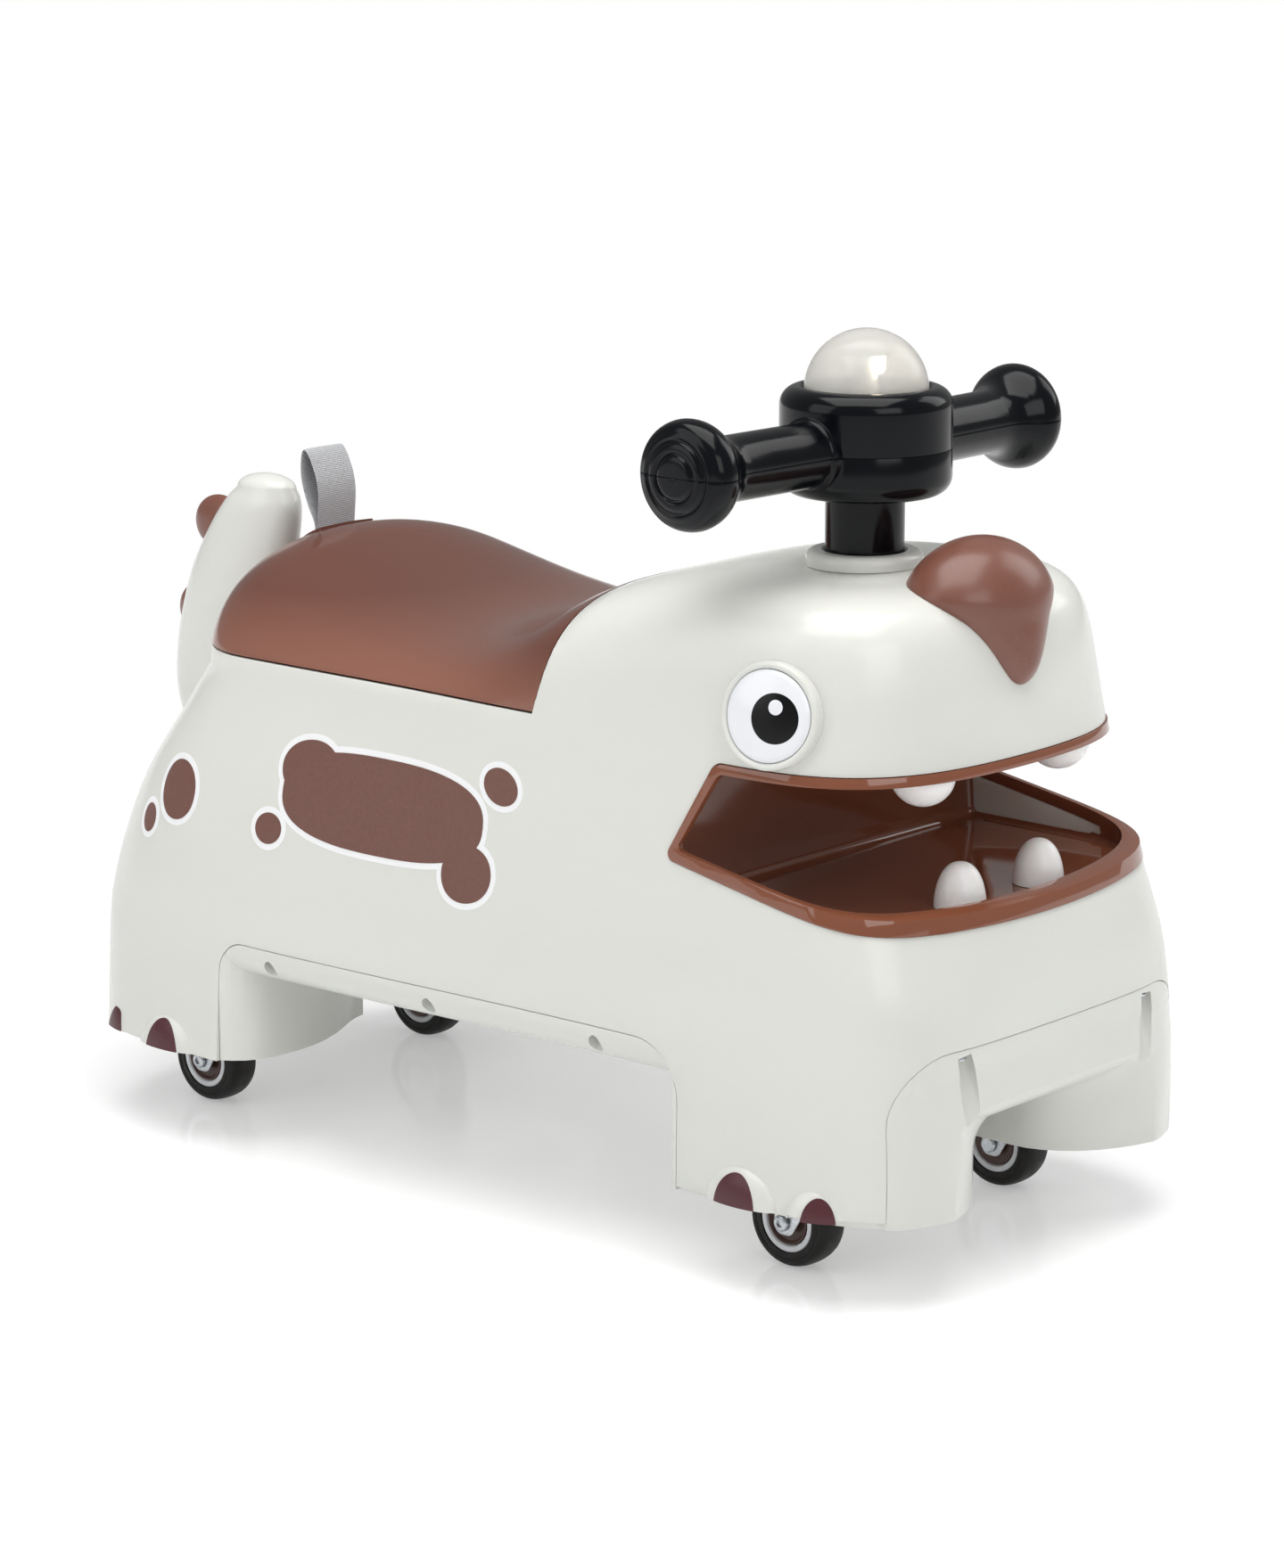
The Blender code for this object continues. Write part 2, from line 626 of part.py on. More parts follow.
def build_body_shell(look):
    shell = body_form("body_shell", 0.0, FOOT_BOTTOM_Z)
    hollow = inner_form("body_hollow", WALL)
    combine(shell, hollow)
    combine(shell, lid_zone("lid_opening", 0.0))
    combine(shell, prism("mouth_opening", mouth_outline(0.0), "X", *ACROSS))
    side = arch_outline(*SIDE_ARCH_Y, SIDE_ARCH_TOP_Z, 0.0, ARCH_CORNER)
    combine(shell, prism("side_arch_opening", side, "X", *ACROSS))
    width = END_ARCH_HALF_WIDTH
    front = arch_outline(-width, width, END_ARCH_TOP_Z, 0.0, END_ARCH_CORNER)
    combine(shell, prism("end_arch_opening", front, "Y", *ALONG))
    hole = COLUMN_RADIUS + SLEEVE_WALL + 2 * FIT_GAP
    hem = FOOT_BOTTOM_Z + FRONT_HEM_RISE
    combine(shell, box("front_hem", ACROSS, (ALONG[0], FRONT_HEM_Y), (0, hem)))
    for index, (place, reach) in enumerate(TOES):
        for side in (1, -1):
            toe = swell(f"toe_{index}_{side}", place, reach, side)
            combine(toe, inner_form(f"toe_limit_{index}_{side}", WALL / 2))
            combine(shell, toe, "UNION")
    combine(shell, rod("neck_hole", hole, SLEEVE_BOTTOM_Z, COLLAR_TOP_Z, COLUMN_SIDES, (0, STEER_Y, 0)))
    return finish(shell, look)


def passage(name, sizes, grow):
    """Space between the two legs of one end, flared at both faces and lower under the apron."""
    half_width, end_y, apron_y, inner_y, flare_reach, flare_depth, inner_round = sizes
    inward = 1 if end_y < 0 else -1
    flare_reach -= grow
    flare_depth -= grow
    inner_round -= grow
    stations = [(end_y - inward * OVERSHOOT, flare_reach, APRON_BOTTOM_Z)]
    for step in range(PASSAGE_STEPS + 1):
        angle = math.pi / 2 * (1 - step / PASSAGE_STEPS)
        depth = grow + flare_depth * (1 - math.sin(angle))
        stations.append((end_y + inward * depth, flare_reach * (1 - math.cos(angle)), APRON_BOTTOM_Z))
    apron_back = apron_y - inward * grow
    stations.append((apron_back - inward * APRON_STEP, 0.0, APRON_BOTTOM_Z))
    high = DECK_BOTTOM_Z + BASE_WALL / 2
    stations.append((apron_back, 0.0, high))
    for step in range(PASSAGE_STEPS + 1):
        angle = math.pi / 2 * step / PASSAGE_STEPS
        depth = grow + inner_round * (1 - math.sin(angle))
        stations.append((inner_y - inward * depth, inner_round * (1 - math.cos(angle)), high))
    stations.append((inner_y + inward * OVERSHOOT, inner_round, high))
    mesh = bmesh.new()
    rings = []
    for y, flare, top in stations:
        x = half_width + grow + flare
        z = top + grow + (flare * APRON_FLARE_RISE if top == APRON_BOTTOM_Z else 0.0)
        outline = arch_outline(-x, x, z, 0.0, APRON_CORNER, 3)
        rings.append([mesh.verts.new((along, y, height)) for along, height in outline])
    for lower, upper in zip(rings, rings[1:]):
        for index in range(len(lower)):
            after = (index + 1) % len(lower)
            mesh.faces.new((lower[index], lower[after], upper[after], upper[index]))
    mesh.faces.new(rings[0])
    mesh.faces.new(rings[-1])
    bmesh.ops.recalc_face_normals(mesh, faces=mesh.faces)
    return mesh_object(name, mesh)


def leg_pair(name, sizes, inset, low, high):
    """Both legs of one end with the apron between them, drawn in by `inset`."""
    end_y, inner_y = sizes[1], sizes[3]
    inward = 1 if end_y < 0 else -1
    face_y = inner_y - inward * inset
    pair = box(name, ACROSS, sorted((end_y - inward * OVERSHOOT, face_y)), (low, high))
    if inset:
        combine(pair, inner_form(name + "_limit", WALL + FIT_GAP + inset), "INTERSECT")
    else:
        combine(pair, body_form(name + "_limit", inset, 0.0, shoulder_steps=2), "INTERSECT")
    return combine(pair, passage(name + "_passage", sizes, inset))


def deck_form(name, inset, low, high):
    """The tray's solid: the body's plan with a rounded lower edge."""
    mesh = bmesh.new()
    rings = []
    radius = DECK_EDGE_RADIUS - inset
    for step in range(DECK_EDGE_STEPS + 1):
        angle = math.pi / 2 * step / DECK_EDGE_STEPS
        height = low + radius * (1 - math.cos(angle))
        rings.append((height, inset + radius * (1 - math.sin(angle))))
    rings.append((high, inset))
    loops = []
    for height, draw_in in rings:
        half = half_outline(height, draw_in, *DECK_STEPS)
        full = half + [(-x, y) for x, y in reversed(half[1:-1])]
        loops.append([mesh.verts.new((x, y, height)) for x, y in full])
    for lower, upper in zip(loops, loops[1:]):
        for index in range(len(lower)):
            after = (index + 1) % len(lower)
            mesh.faces.new((lower[index], lower[after], upper[after], upper[index]))
    mesh.faces.new(loops[0])
    mesh.faces.new(loops[-1])
    bmesh.ops.recalc_face_normals(mesh, faces=mesh.faces)
    return mesh_object(name, mesh)


LEGS = [(side, is_front) for is_front in (True, False) for side in (1, -1)]


def stem_place(side, is_front):
    contact = -WHEELBASE / 2 if is_front else WHEELBASE / 2
    return side * TRACK / 2, contact - CASTER_TRAIL


def build_base_shell(look):
    inside_body = WALL + FIT_GAP
    base = deck_form("base_shell", 0.0, DECK_BOTTOM_Z, DECK_TOP_Z)
    # The tray is flush with the body under the arches and steps inside the body's wall above them
    step_in = inner_form("base_limit", inside_body)
    side = arch_outline(SIDE_ARCH_Y[0] + FIT_GAP, SIDE_ARCH_Y[1] - FIT_GAP, SIDE_ARCH_TOP_Z - FIT_GAP, 0.0,
                        ARCH_CORNER - FIT_GAP)
    width = END_ARCH_HALF_WIDTH - FIT_GAP
    front = arch_outline(-width, width, END_ARCH_TOP_Z - FIT_GAP, 0.0, END_ARCH_CORNER - FIT_GAP)
    combine(step_in, prism("side_arch_face", side, "X", *ACROSS), "UNION")
    combine(step_in, prism("end_arch_face", front, "Y", *ALONG), "UNION")
    ends = (("front", FRONT_PASSAGE), ("rear", REAR_PASSAGE))
    for word, sizes in ends:
        pair = leg_pair(f"{word}_legs", sizes, 0.0, FOOT_BOTTOM_Z, DECK_BOTTOM_Z + DECK_EDGE_RADIUS)
        combine(base, pair, "UNION")
    combine(base, step_in, "INTERSECT")
    floor_z = DECK_BOTTOM_Z + BASE_WALL
    hollow = deck_form("deck_hollow", inside_body + BASE_WALL, floor_z, DECK_TOP_Z + OVERCUT)
    sides = [(index, pocket, side) for index, pocket in enumerate(SCREW_POCKETS) for side in (1, -1)]
    boss_rise = POCKET_RISE + POCKET_WALL
    for index, pocket, side in sides:
        around = pocket[2] + POCKET_WALL
        combine(hollow, pocket_rod(f"pocket_boss_{index}_{side}", pocket, side, around, boss_rise))
    combine(base, hollow)
    bore_radius = SOCKET_RADIUS + TOUCH_GAP
    for word, sizes in ends:
        well = leg_pair(f"{word}_leg_wells", sizes, BASE_WALL, LEG_FLOOR_Z + LEG_FLOOR_THICKNESS, DECK_TOP_Z)
        recess = leg_pair(f"{word}_leg_recess", sizes, BASE_WALL, FOOT_BOTTOM_Z - OVERCUT, LEG_FLOOR_Z)
        bores = []
        for side in (1, -1):
            x, y = stem_place(side, word == "front")
            low, high, centre = LEG_FLOOR_Z - OVERCUT, BOSS_TOP_Z + OVERCUT, (x, y, 0)
            combine(well, rod(f"{word}_stem_boss_{side}", BOSS_RADIUS, low, BOSS_TOP_Z, CASTER_SIDES, centre))
            bores.append(rod(f"{word}_stem_bore_{side}", bore_radius, low, high, CASTER_SIDES, centre))
        for index, pocket, side in sides:
            if abs(pocket[0][1] - sizes[1]) < POCKET_END_REACH:
                around = pocket[2] + POCKET_WALL
                combine(well, pocket_rod(f"{word}_well_boss_{side}", pocket, side, around, boss_rise))
        for tool in (well, recess, *bores):
            combine(base, tool)
    for index, pocket, side in sides:
        combine(base, pocket_rod(f"pocket_{index}_{side}", pocket, side, pocket[2], POCKET_RISE))
    return finish(base, look)


def build_caster(tag, side, is_front, looks):
    x, y = stem_place(side, is_front)
    axle_y = y + CASTER_TRAIL
    bore = STEM_RADIUS + TOUCH_GAP
    flange_high = LEG_FLOOR_Z - TOUCH_GAP
    flange_low = flange_high - SOCKET_FLANGE
    brim = SOCKET_RADIUS + SOCKET_BRIM
    socket = turned(f"caster_socket_{tag}", [
        (bore, flange_low), (brim, flange_low), (brim, flange_high),
        (SOCKET_RADIUS, flange_high), (SOCKET_RADIUS, BOSS_TOP_Z), (bore, BOSS_TOP_Z)],
        CASTER_SIDES, (x, y, 0), closed=True)
    finish(socket, looks["zinc"])
    inner = WHEEL_WIDTH / 2 + FORK_GAP
    outer = inner + FORK_PLATE
    crown, waist, toe = FORK_HALF_LENGTHS
    arm = rounded([(y - crown, FORK_TOP_Z), (y - waist, FORK_WAIST_Z), (axle_y - toe, FORK_TOE_Z),
                   (axle_y + toe, FORK_TOE_Z), (axle_y + toe, FORK_HEEL_Z), (y + crown, FORK_TOP_Z)],
                  [0, FORK_ROUND, FORK_ROUND, FORK_ROUND, FORK_ROUND, 0], 2)
    fork = prism(f"caster_fork_{tag}", arm, "X", x - outer, x + outer)
    slot_y = (y - WHEEL_RADIUS, axle_y + WHEEL_RADIUS)
    slot = box(f"fork_slot_{tag}", (x - inner, x + inner), slot_y, (0, FORK_TOP_Z - FORK_PLATE))
    combine(fork, slot)
    axle = (x, axle_y, WHEEL_RADIUS)
    hole_radius = BOLT_RADIUS + TOUCH_GAP
    hole = rod(f"fork_hole_{tag}", hole_radius, -WHEEL_WIDTH, WHEEL_WIDTH, CASTER_SIDES, axle, "X")
    combine(fork, hole)
    stem_low = FORK_TOP_Z - FORK_PLATE / 2
    stem = rod(f"fork_stem_{tag}", STEM_RADIUS, stem_low, STEM_TOP_Z, CASTER_SIDES, (x, y, 0))
    combine(fork, stem, "UNION")
    finish(fork, looks["zinc"])
    for item in (fork, slot, hole, stem):
        pivot(item, (x, y, CASTER_PIVOT_Z))
    seat = outer + TOUCH_GAP
    end = seat + BOLT_HEAD_HEIGHT
    bolt = turned(f"axle_bolt_{tag}", [
        (0, -end), (BOLT_HEAD_RADIUS, -end), (BOLT_HEAD_RADIUS, -seat), (BOLT_RADIUS, -seat),
        (BOLT_RADIUS, seat), (BOLT_HEAD_RADIUS, seat), (BOLT_CROWN_RADIUS, end), (BOLT_SOCKET_RADIUS, end),
        (BOLT_SOCKET_RADIUS, end - BOLT_SOCKET_DEPTH), (0, end - BOLT_SOCKET_DEPTH)], 8, (0, 0, 0), "X")
    if side < 0:
        bolt.data.transform(Matrix.Rotation(math.pi, 4, "Z"))
    finish(bolt, looks["zinc"], 30)
    bolt.location = (x, axle_y, WHEEL_RADIUS)
    half = WHEEL_WIDTH / 2
    hub_bore = BOLT_RADIUS + TOUCH_GAP
    face = half - HUB_DISH
    grow = 1 / math.cos(math.pi / WHEEL_SIDES)
    hub = turned(f"wheel_hub_{tag}", [
        (hub_bore, -half), (HUB_NOSE_RADIUS, -half), (HUB_NOSE_RADIUS + HUB_NOSE_DRAFT, -face),
        (HUB_RADIUS * grow - HUB_RIM, -face), (HUB_RADIUS * grow, -half + HUB_SETBACK),
        (HUB_RADIUS * grow, half - HUB_SETBACK), (hub_bore, half - HUB_SETBACK)],
        WHEEL_SIDES, (0, 0, 0), "X", True)
    if side > 0:
        hub.data.transform(Matrix.Rotation(math.pi, 4, "Z"))
    ring_in = (HUB_RADIUS + TOUCH_GAP) * grow
    ring_out = RING_RADIUS * grow
    ring_half = half - RING_SETBACK
    ring = turned(f"wheel_ring_{tag}", [(ring_in, -ring_half), (ring_out, -ring_half), (ring_out, ring_half),
                                        (ring_in, ring_half)], WHEEL_SIDES, (0, 0, 0), "X", True)
    tyre_in = RING_RADIUS + TOUCH_GAP
    tread = [(tyre_in * grow, -half)]
    tread += [((WHEEL_RADIUS - drop) * grow, -half + along) for drop, along in TREAD_SHOULDER]
    tread += [(radius, -height) for radius, height in reversed(tread)]
    tyre = turned(f"tyre_{tag}", tread, WHEEL_SIDES, (0, 0, 0), "X", True)
    for item, look in ((hub, looks["brown"]), (ring, looks["white"]), (tyre, looks["tyre"])):
        finish(item, look, 35)
        item.location = (x, axle_y, WHEEL_RADIUS)


def build_bin(look):
    outline = rounded([(-BIN_HALF_WIDTH, BIN_Y[0]), (BIN_HALF_WIDTH, BIN_Y[0]), (BIN_HALF_WIDTH, BIN_Y[1]),
                       (-BIN_HALF_WIDTH, BIN_Y[1])], BIN_CORNER, 4)
    tub = prism("storage_bin", outline, "Z", BIN_FLOOR_Z, BIN_RIM_Z - BIN_WALL / 2)
    rim_front = LID_FRONT_MIDDLE_Y - BULKHEAD_SETBACK
    rim_low = BIN_RIM_Z - BIN_WALL
    rim_outline = [(rim_front, rim_low), (ALONG[1], rim_low), (ALONG[1], BIN_RIM_Z),
                   (rim_front + BIN_WALL, BIN_RIM_Z), (rim_front + BIN_WALL, ABOVE_Z), (rim_front, ABOVE_Z)]
    rim = prism("bin_rim", rim_outline, "X", *ACROSS)
    combine(rim, inner_form("bin_limit", WALL + FIT_GAP), "INTERSECT")
    combine(tub, rim, "UNION")
    w = BIN_WALL
    inside = rounded([(-BIN_HALF_WIDTH + w, BIN_Y[0] + w), (BIN_HALF_WIDTH - w, BIN_Y[0] + w),
                      (BIN_HALF_WIDTH - w, BIN_Y[1] - w), (-BIN_HALF_WIDTH + w, BIN_Y[1] - w)],
                     BIN_CORNER - w, 4)
    combine(tub, prism("bin_hollow", inside, "Z", BIN_FLOOR_Z + w, BIN_RIM_Z + OVERCUT))
    return finish(tub, look)


def build_lid(look):
    lid = body_form("seat_lid", 0.0, LID_FORM_BOTTOM_Z, *LID_STEPS, (SHOULDER_Z,))
    half = STRAP_WIDTH / 2 + TOUCH_GAP
    slot_y = (STRAP_FOOT_Y[0] - TOUCH_GAP, STRAP_FOOT_Y[1] + TOUCH_GAP)
    edge = STRAP_PAD_MARGIN
    x_high, y_low, y_high = half + edge, slot_y[0] - edge, slot_y[1] + edge
    pad_corners = [(-x_high, y_low), (x_high, y_low), (x_high, y_high), (-x_high, y_high)]
    pad_outline = rounded(pad_corners, edge / 2, 2)
    pad = prism("strap_pad", pad_outline, "Z", STRAP_END_Z, ABOVE_Z)
    pad_limit = body_form("strap_pad_limit", -STRAP_PAD_RISE, LID_FORM_BOTTOM_Z, *LID_STEPS, (SHOULDER_Z,))
    combine(pad, pad_limit, "INTERSECT")
    combine(lid, pad, "UNION")
    below = LID_FORM_BOTTOM_Z - OVERCUT
    combine(lid, body_form("lid_hollow", LID_THICKNESS, below, *LID_HOLLOW_STEPS, (SHOULDER_Z,)))
    combine(lid, lid_zone("lid_limit", LID_GAP), "INTERSECT")
    combine(lid, box("strap_slot", (-half, half), slot_y, (SEAT_EDGE_Z, ABOVE_Z)))
    finish(lid, look)
    anchor = prism("strap_anchor", pad_outline, "Z", ANCHOR_BOTTOM_Z, ABOVE_Z)
    inset = LID_THICKNESS + TOUCH_GAP
    combine(anchor, body_form("anchor_limit", inset, below, *LID_HOLLOW_STEPS, (SHOULDER_Z,)), "INTERSECT")
    combine(anchor, box("anchor_pocket", (-half, half), slot_y, (STRAP_END_Z - TOUCH_GAP, ABOVE_Z)))
    finish(anchor, look)


def build_strap(look):
    """A teardrop loop of webbing whose two ends pass side by side through a slot in the lid."""
    front_y, rear_y = STRAP_FOOT_Y
    path = [(front_y, STRAP_END_Z)] + list(STRAP_LOOP) + [(rear_y, STRAP_END_Z)]
    inner = [(rear_y - STRAP_THICKNESS, STRAP_END_Z)]
    for index in range(len(path) - 2, 0, -1):
        along = (Vector(path[index + 1]) - Vector(path[index - 1])).normalized()
        inner.append((path[index][0] + along.y * STRAP_THICKNESS, path[index][1] - along.x * STRAP_THICKNESS))
    inner.append((front_y + STRAP_THICKNESS, STRAP_END_Z))
    strap = prism("pull_loop", path + inner, "X", -STRAP_WIDTH / 2, STRAP_WIDTH / 2)
    return finish(strap, look, 30)


def build_mouth(look, tooth_look):
    inside_body = WALL + FIT_GAP
    liner = prism("mouth_liner", mouth_outline(-FIT_GAP), "X", *ACROSS)
    lip_limit = body_form("lip_limit", -LIP_PROUD, LIP_FORM_BOTTOM_Z, *LIP_STEPS, LIP_HEIGHTS)
    combine(liner, lip_limit, "INTERSECT")
    back = LINER_BACK_Y + LINER_SHEET
    roof_z = MOUTH_REAR_HIGH[1] - LIP_BAND
    basin_z = (LINER_FLOOR_Z - LINER_SHEET, roof_z + LINER_SHEET)
    basin = box("liner_basin", ACROSS, (ALONG[0], back), basin_z)
    combine(basin, inner_form("basin_limit", inside_body), "INTERSECT")
    combine(liner, basin, "UNION")
    band = LIP_BAND
    rear_low = (MOUTH_REAR_LOW[0] - LIP_REAR_BANDS[0], MOUTH_REAR_LOW[1] + band)
    rear_high = (MOUTH_REAR_HIGH[0] - LIP_REAR_BANDS[1], MOUTH_REAR_HIGH[1] - band)
    front = [(MOUTH_OPEN_Y, rear_high[1]), (MOUTH_OPEN_Y, MOUTH_FRONT_LOW_Z + band)]
    opening = rounded([rear_low, rear_high] + front, LIP_ROUNDS, 3)
    combine(liner, prism("lip_opening", opening, "X", *ACROSS))
    hollow = box("liner_hollow", ACROSS, (ALONG[0], LINER_BACK_Y), (LINER_FLOOR_Z, roof_z - TOUCH_GAP))
    combine(hollow, inner_form("hollow_limit", inside_body + LIP_BAND), "INTERSECT")
    combine(liner, hollow)
    finish(liner, look)
    for side, word in ((1, "left"), (-1, "right")):
        x, y = UPPER_TOOTH
        top = MOUTH_REAR_HIGH[1] - LIP_BAND - TOUCH_GAP
        drop = top - UPPER_TOOTH_TIP_Z
        profile = [(UPPER_TOOTH_RADIUS * math.cos(a), top - drop * math.sin(a))
                   for a in (math.pi / 2 * step / 5 for step in range(5))]
        profile = [(0, top)] + profile + [(0, top - drop)]
        finish(turned(f"upper_tooth_{word}", profile, 14, (side * x, y, 0)), tooth_look, 50)
        x, y = LOWER_TOOTH
        foot = LINER_FLOOR_Z + TOUCH_GAP
        rise = LOWER_TOOTH_TIP_Z - foot
        profile = [(LOWER_TOOTH_RADIUS * math.cos(a) ** LOWER_TOOTH_FULLNESS, foot + rise * math.sin(a))
                   for a in (math.pi / 2 * step / 5 for step in range(5))]
        profile = [(0, foot)] + profile + [(0, foot + rise)]
        finish(turned(f"lower_tooth_{word}", profile, 14, (side * x, y, 0)), tooth_look, 50)


def build_eyes(ring_look, disc_look):
    crest_in, crest = EYE_RING_CREST
    turn_in, turn_up = EYE_DISC_SHOULDER
    for side, word in ((1, "left"), (-1, "right")):
        lean = Matrix.Rotation(side * (math.pi / 2 - EYE_LEAN), 4, "Y")
        facing = Matrix.Rotation(-side * EYE_TURN, 4, "Z") @ lean
        place = Matrix.Translation((side * EYE_PLACE[0], EYE_PLACE[1], EYE_PLACE[2])) @ facing
        skin = outer_skin(f"eye_skin_{word}")
        gap = TOUCH_GAP
        ring = turned(f"eye_ring_{word}", [
            (EYE_DISC_RADIUS + gap, -EYE_DEPTH), (EYE_RING_RADIUS, -EYE_DEPTH),
            (EYE_RING_RADIUS, EYE_RING_EDGE),
            (EYE_RING_RADIUS - crest_in, crest), (EYE_DISC_RADIUS + gap, EYE_PROUD)], EYE_SIDES, closed=True)
        disc = turned(f"eye_disc_{word}", [
            (0, -EYE_DEPTH), (EYE_DISC_RADIUS, -EYE_DEPTH), (EYE_DISC_RADIUS, EYE_PROUD),
            (EYE_DISC_RADIUS * turn_in, EYE_PROUD + EYE_DOMING * turn_up), (0, EYE_PROUD + EYE_DOMING)],
            EYE_SIDES)
        for made, look in ((ring, ring_look), (disc, disc_look)):
            made.data.transform(place)
            combine(made, skin)
            finish(made, look)


def build_nose(look):
    mesh = bmesh.new()
    bmesh.ops.create_uvsphere(mesh, u_segments=18, v_segments=11, radius=1)
    for vertex in mesh.verts:
        x, y, z = vertex.co
        fall = max(0.0, -z)
        narrow = 1 - NOSE_TIP_NARROWING * fall ** NOSE_NARROWING_POWER
        forward = y * NOSE_REACH[1] * (1 - NOSE_TIP_THINNING * fall)
        forward -= NOSE_TIP_FORWARD * fall ** NOSE_FORWARD_POWER
        vertex.co = Vector((x * NOSE_REACH[0] * narrow, forward, z * NOSE_REACH[2])) + Vector(NOSE_CENTRE)
    nose = mesh_object("nose", mesh)
    combine(nose, outer_skin("nose_skin"))
    return finish(nose, look, 50)


def build_steering(looks):
    centre = (0, STEER_Y, 0)
    sleeve_in = COLUMN_RADIUS + FIT_GAP
    sleeve_out = sleeve_in + SLEEVE_WALL
    bead = [(COLLAR_RADIUS - inward, COLLAR_TOP_Z - down) for inward, down in COLLAR_BEAD]
    collar = turned("neck_collar", [
        (sleeve_in, SLEEVE_BOTTOM_Z), (sleeve_out, SLEEVE_BOTTOM_Z), (sleeve_out, COLLAR_FOOT_Z),
        (COLLAR_RADIUS - COLLAR_DRAFT, COLLAR_FOOT_Z)] + bead + [(sleeve_in, COLLAR_TOP_Z)],
        COLUMN_SIDES, centre, closed=True)
    ring = outer_skin("collar_skin")
    plug = rod("collar_sleeve_keep", sleeve_out + TOUCH_GAP, COLUMN_BOTTOM_Z, COLLAR_TOP_Z + COLLAR_HEIGHT,
               COLUMN_SIDES, centre)
    combine(ring, plug)
    combine(collar, ring)
    finish(collar, looks["body"])
    column_in = COLUMN_RADIUS - COLUMN_WALL
    column_top = HUB_DRUM_BOTTOM_Z - TOUCH_GAP
    column = turned("steering_column", [(column_in, COLUMN_BOTTOM_Z), (COLUMN_RADIUS, COLUMN_BOTTOM_Z),
                                        (COLUMN_RADIUS, column_top), (column_in, column_top)],
                    COLUMN_SIDES, centre, closed=True)
    groove_radius = COLUMN_RADIUS - CLIP_GROOVE_DEPTH
    groove = turned("clip_groove", [
        (groove_radius, CLIP_GROOVE_Z), (COLUMN_RADIUS + OVERCUT, CLIP_GROOVE_Z),
        (COLUMN_RADIUS + OVERCUT, SLEEVE_BOTTOM_Z - TOUCH_GAP), (groove_radius, SLEEVE_BOTTOM_Z - TOUCH_GAP)],
        COLUMN_SIDES, centre, closed=True)
    combine(column, groove)
    finish(column, looks["black"])
    clip_low, clip_high = CLIP_GROOVE_Z + TOUCH_GAP, SLEEVE_BOTTOM_Z - 2 * TOUCH_GAP
    clip_in, clip_out = groove_radius + TOUCH_GAP, COLUMN_RADIUS + CLIP_PROUD
    clip = turned("column_clip", [(clip_in, clip_low), (clip_out, clip_low), (clip_out, clip_high),
                                  (clip_in, clip_high)], COLUMN_SIDES, centre, closed=True)
    finish(clip, looks["zinc"])
    for made in (column, groove, clip):
        pivot(made, centre)


def bar_profile():
    """Radius and place of the bar's outline from one knob's cap to the middle."""
    return [(radius, inward - BAR_HALF_LENGTH) for radius, inward in KNOB_PROFILE] + [(BAR_RADIUS, 0.0)]


def build_handlebar(looks):
    half_profile = bar_profile()
    profile = half_profile + [(radius, -height) for radius, height in reversed(half_profile[:-1])]
    foot_in = HUB_DRUM_RADIUS - HUB_FOOT_ROUND
    hub_profile = [(0, HUB_DRUM_BOTTOM_Z), (foot_in, HUB_DRUM_BOTTOM_Z)]
    hub_profile += arc((foot_in, HUB_DRUM_BOTTOM_Z + HUB_FOOT_ROUND), HUB_FOOT_ROUND, -60, 0, 2)
    top_round = (HUB_DRUM_RADIUS - HUB_TOP_ROUND, HUB_DRUM_TOP_Z - HUB_TOP_ROUND)
    hub_profile += arc(top_round, HUB_TOP_ROUND, 0, 90, 3)
    hub_profile += [(0, HUB_DRUM_TOP_Z)]
    inner = HUB_DRUM_RADIUS - HUB_DRUM_WALL
    floor = HUB_DRUM_BOTTOM_Z + HUB_DRUM_WALL
    flange_in = DOME_RADIUS + FIT_GAP
    top_in = HUB_DRUM_TOP_Z - HUB_LIP
    split = TOUCH_GAP / 2
    above = HUB_DRUM_TOP_Z + HUB_DRUM_HEIGHT
    below = HUB_DRUM_BOTTOM_Z - HUB_DRUM_HEIGHT
    halves = (("handlebar_lower", below, BAR_Z - split), ("handlebar_upper", BAR_Z + split, above))
    for name, low, high in halves:
        bar = turned(name, profile, 16, (0, STEER_Y, BAR_Z), "X")
        for vertex in bar.data.vertices:
            vertex.co.y += BAR_SWEEP * abs(vertex.co.x)
        drum = turned(name + "_drum", hub_profile, COLUMN_SIDES, (0, STEER_Y, 0))
        combine(bar, drum, "UNION")
        half_space = box(name + "_half", ACROSS, ALONG, (low, high))
        combine(bar, half_space, "INTERSECT")
        cavity = turned(name + "_cavity", [(0, floor), (inner, floor), (inner, top_in), (flange_in, top_in),
                                           (flange_in, above), (0, above)], LIGHT_SIDES, (0, STEER_Y, 0))
        combine(bar, cavity)
        finish(bar, looks["black"], 35)
        pivot(bar, (0, STEER_Y, BAR_Z))
    for item in bpy.data.objects:
        if item.name.startswith("handlebar_") and item.location.length == 0:
            pivot(item, (0, STEER_Y, BAR_Z))


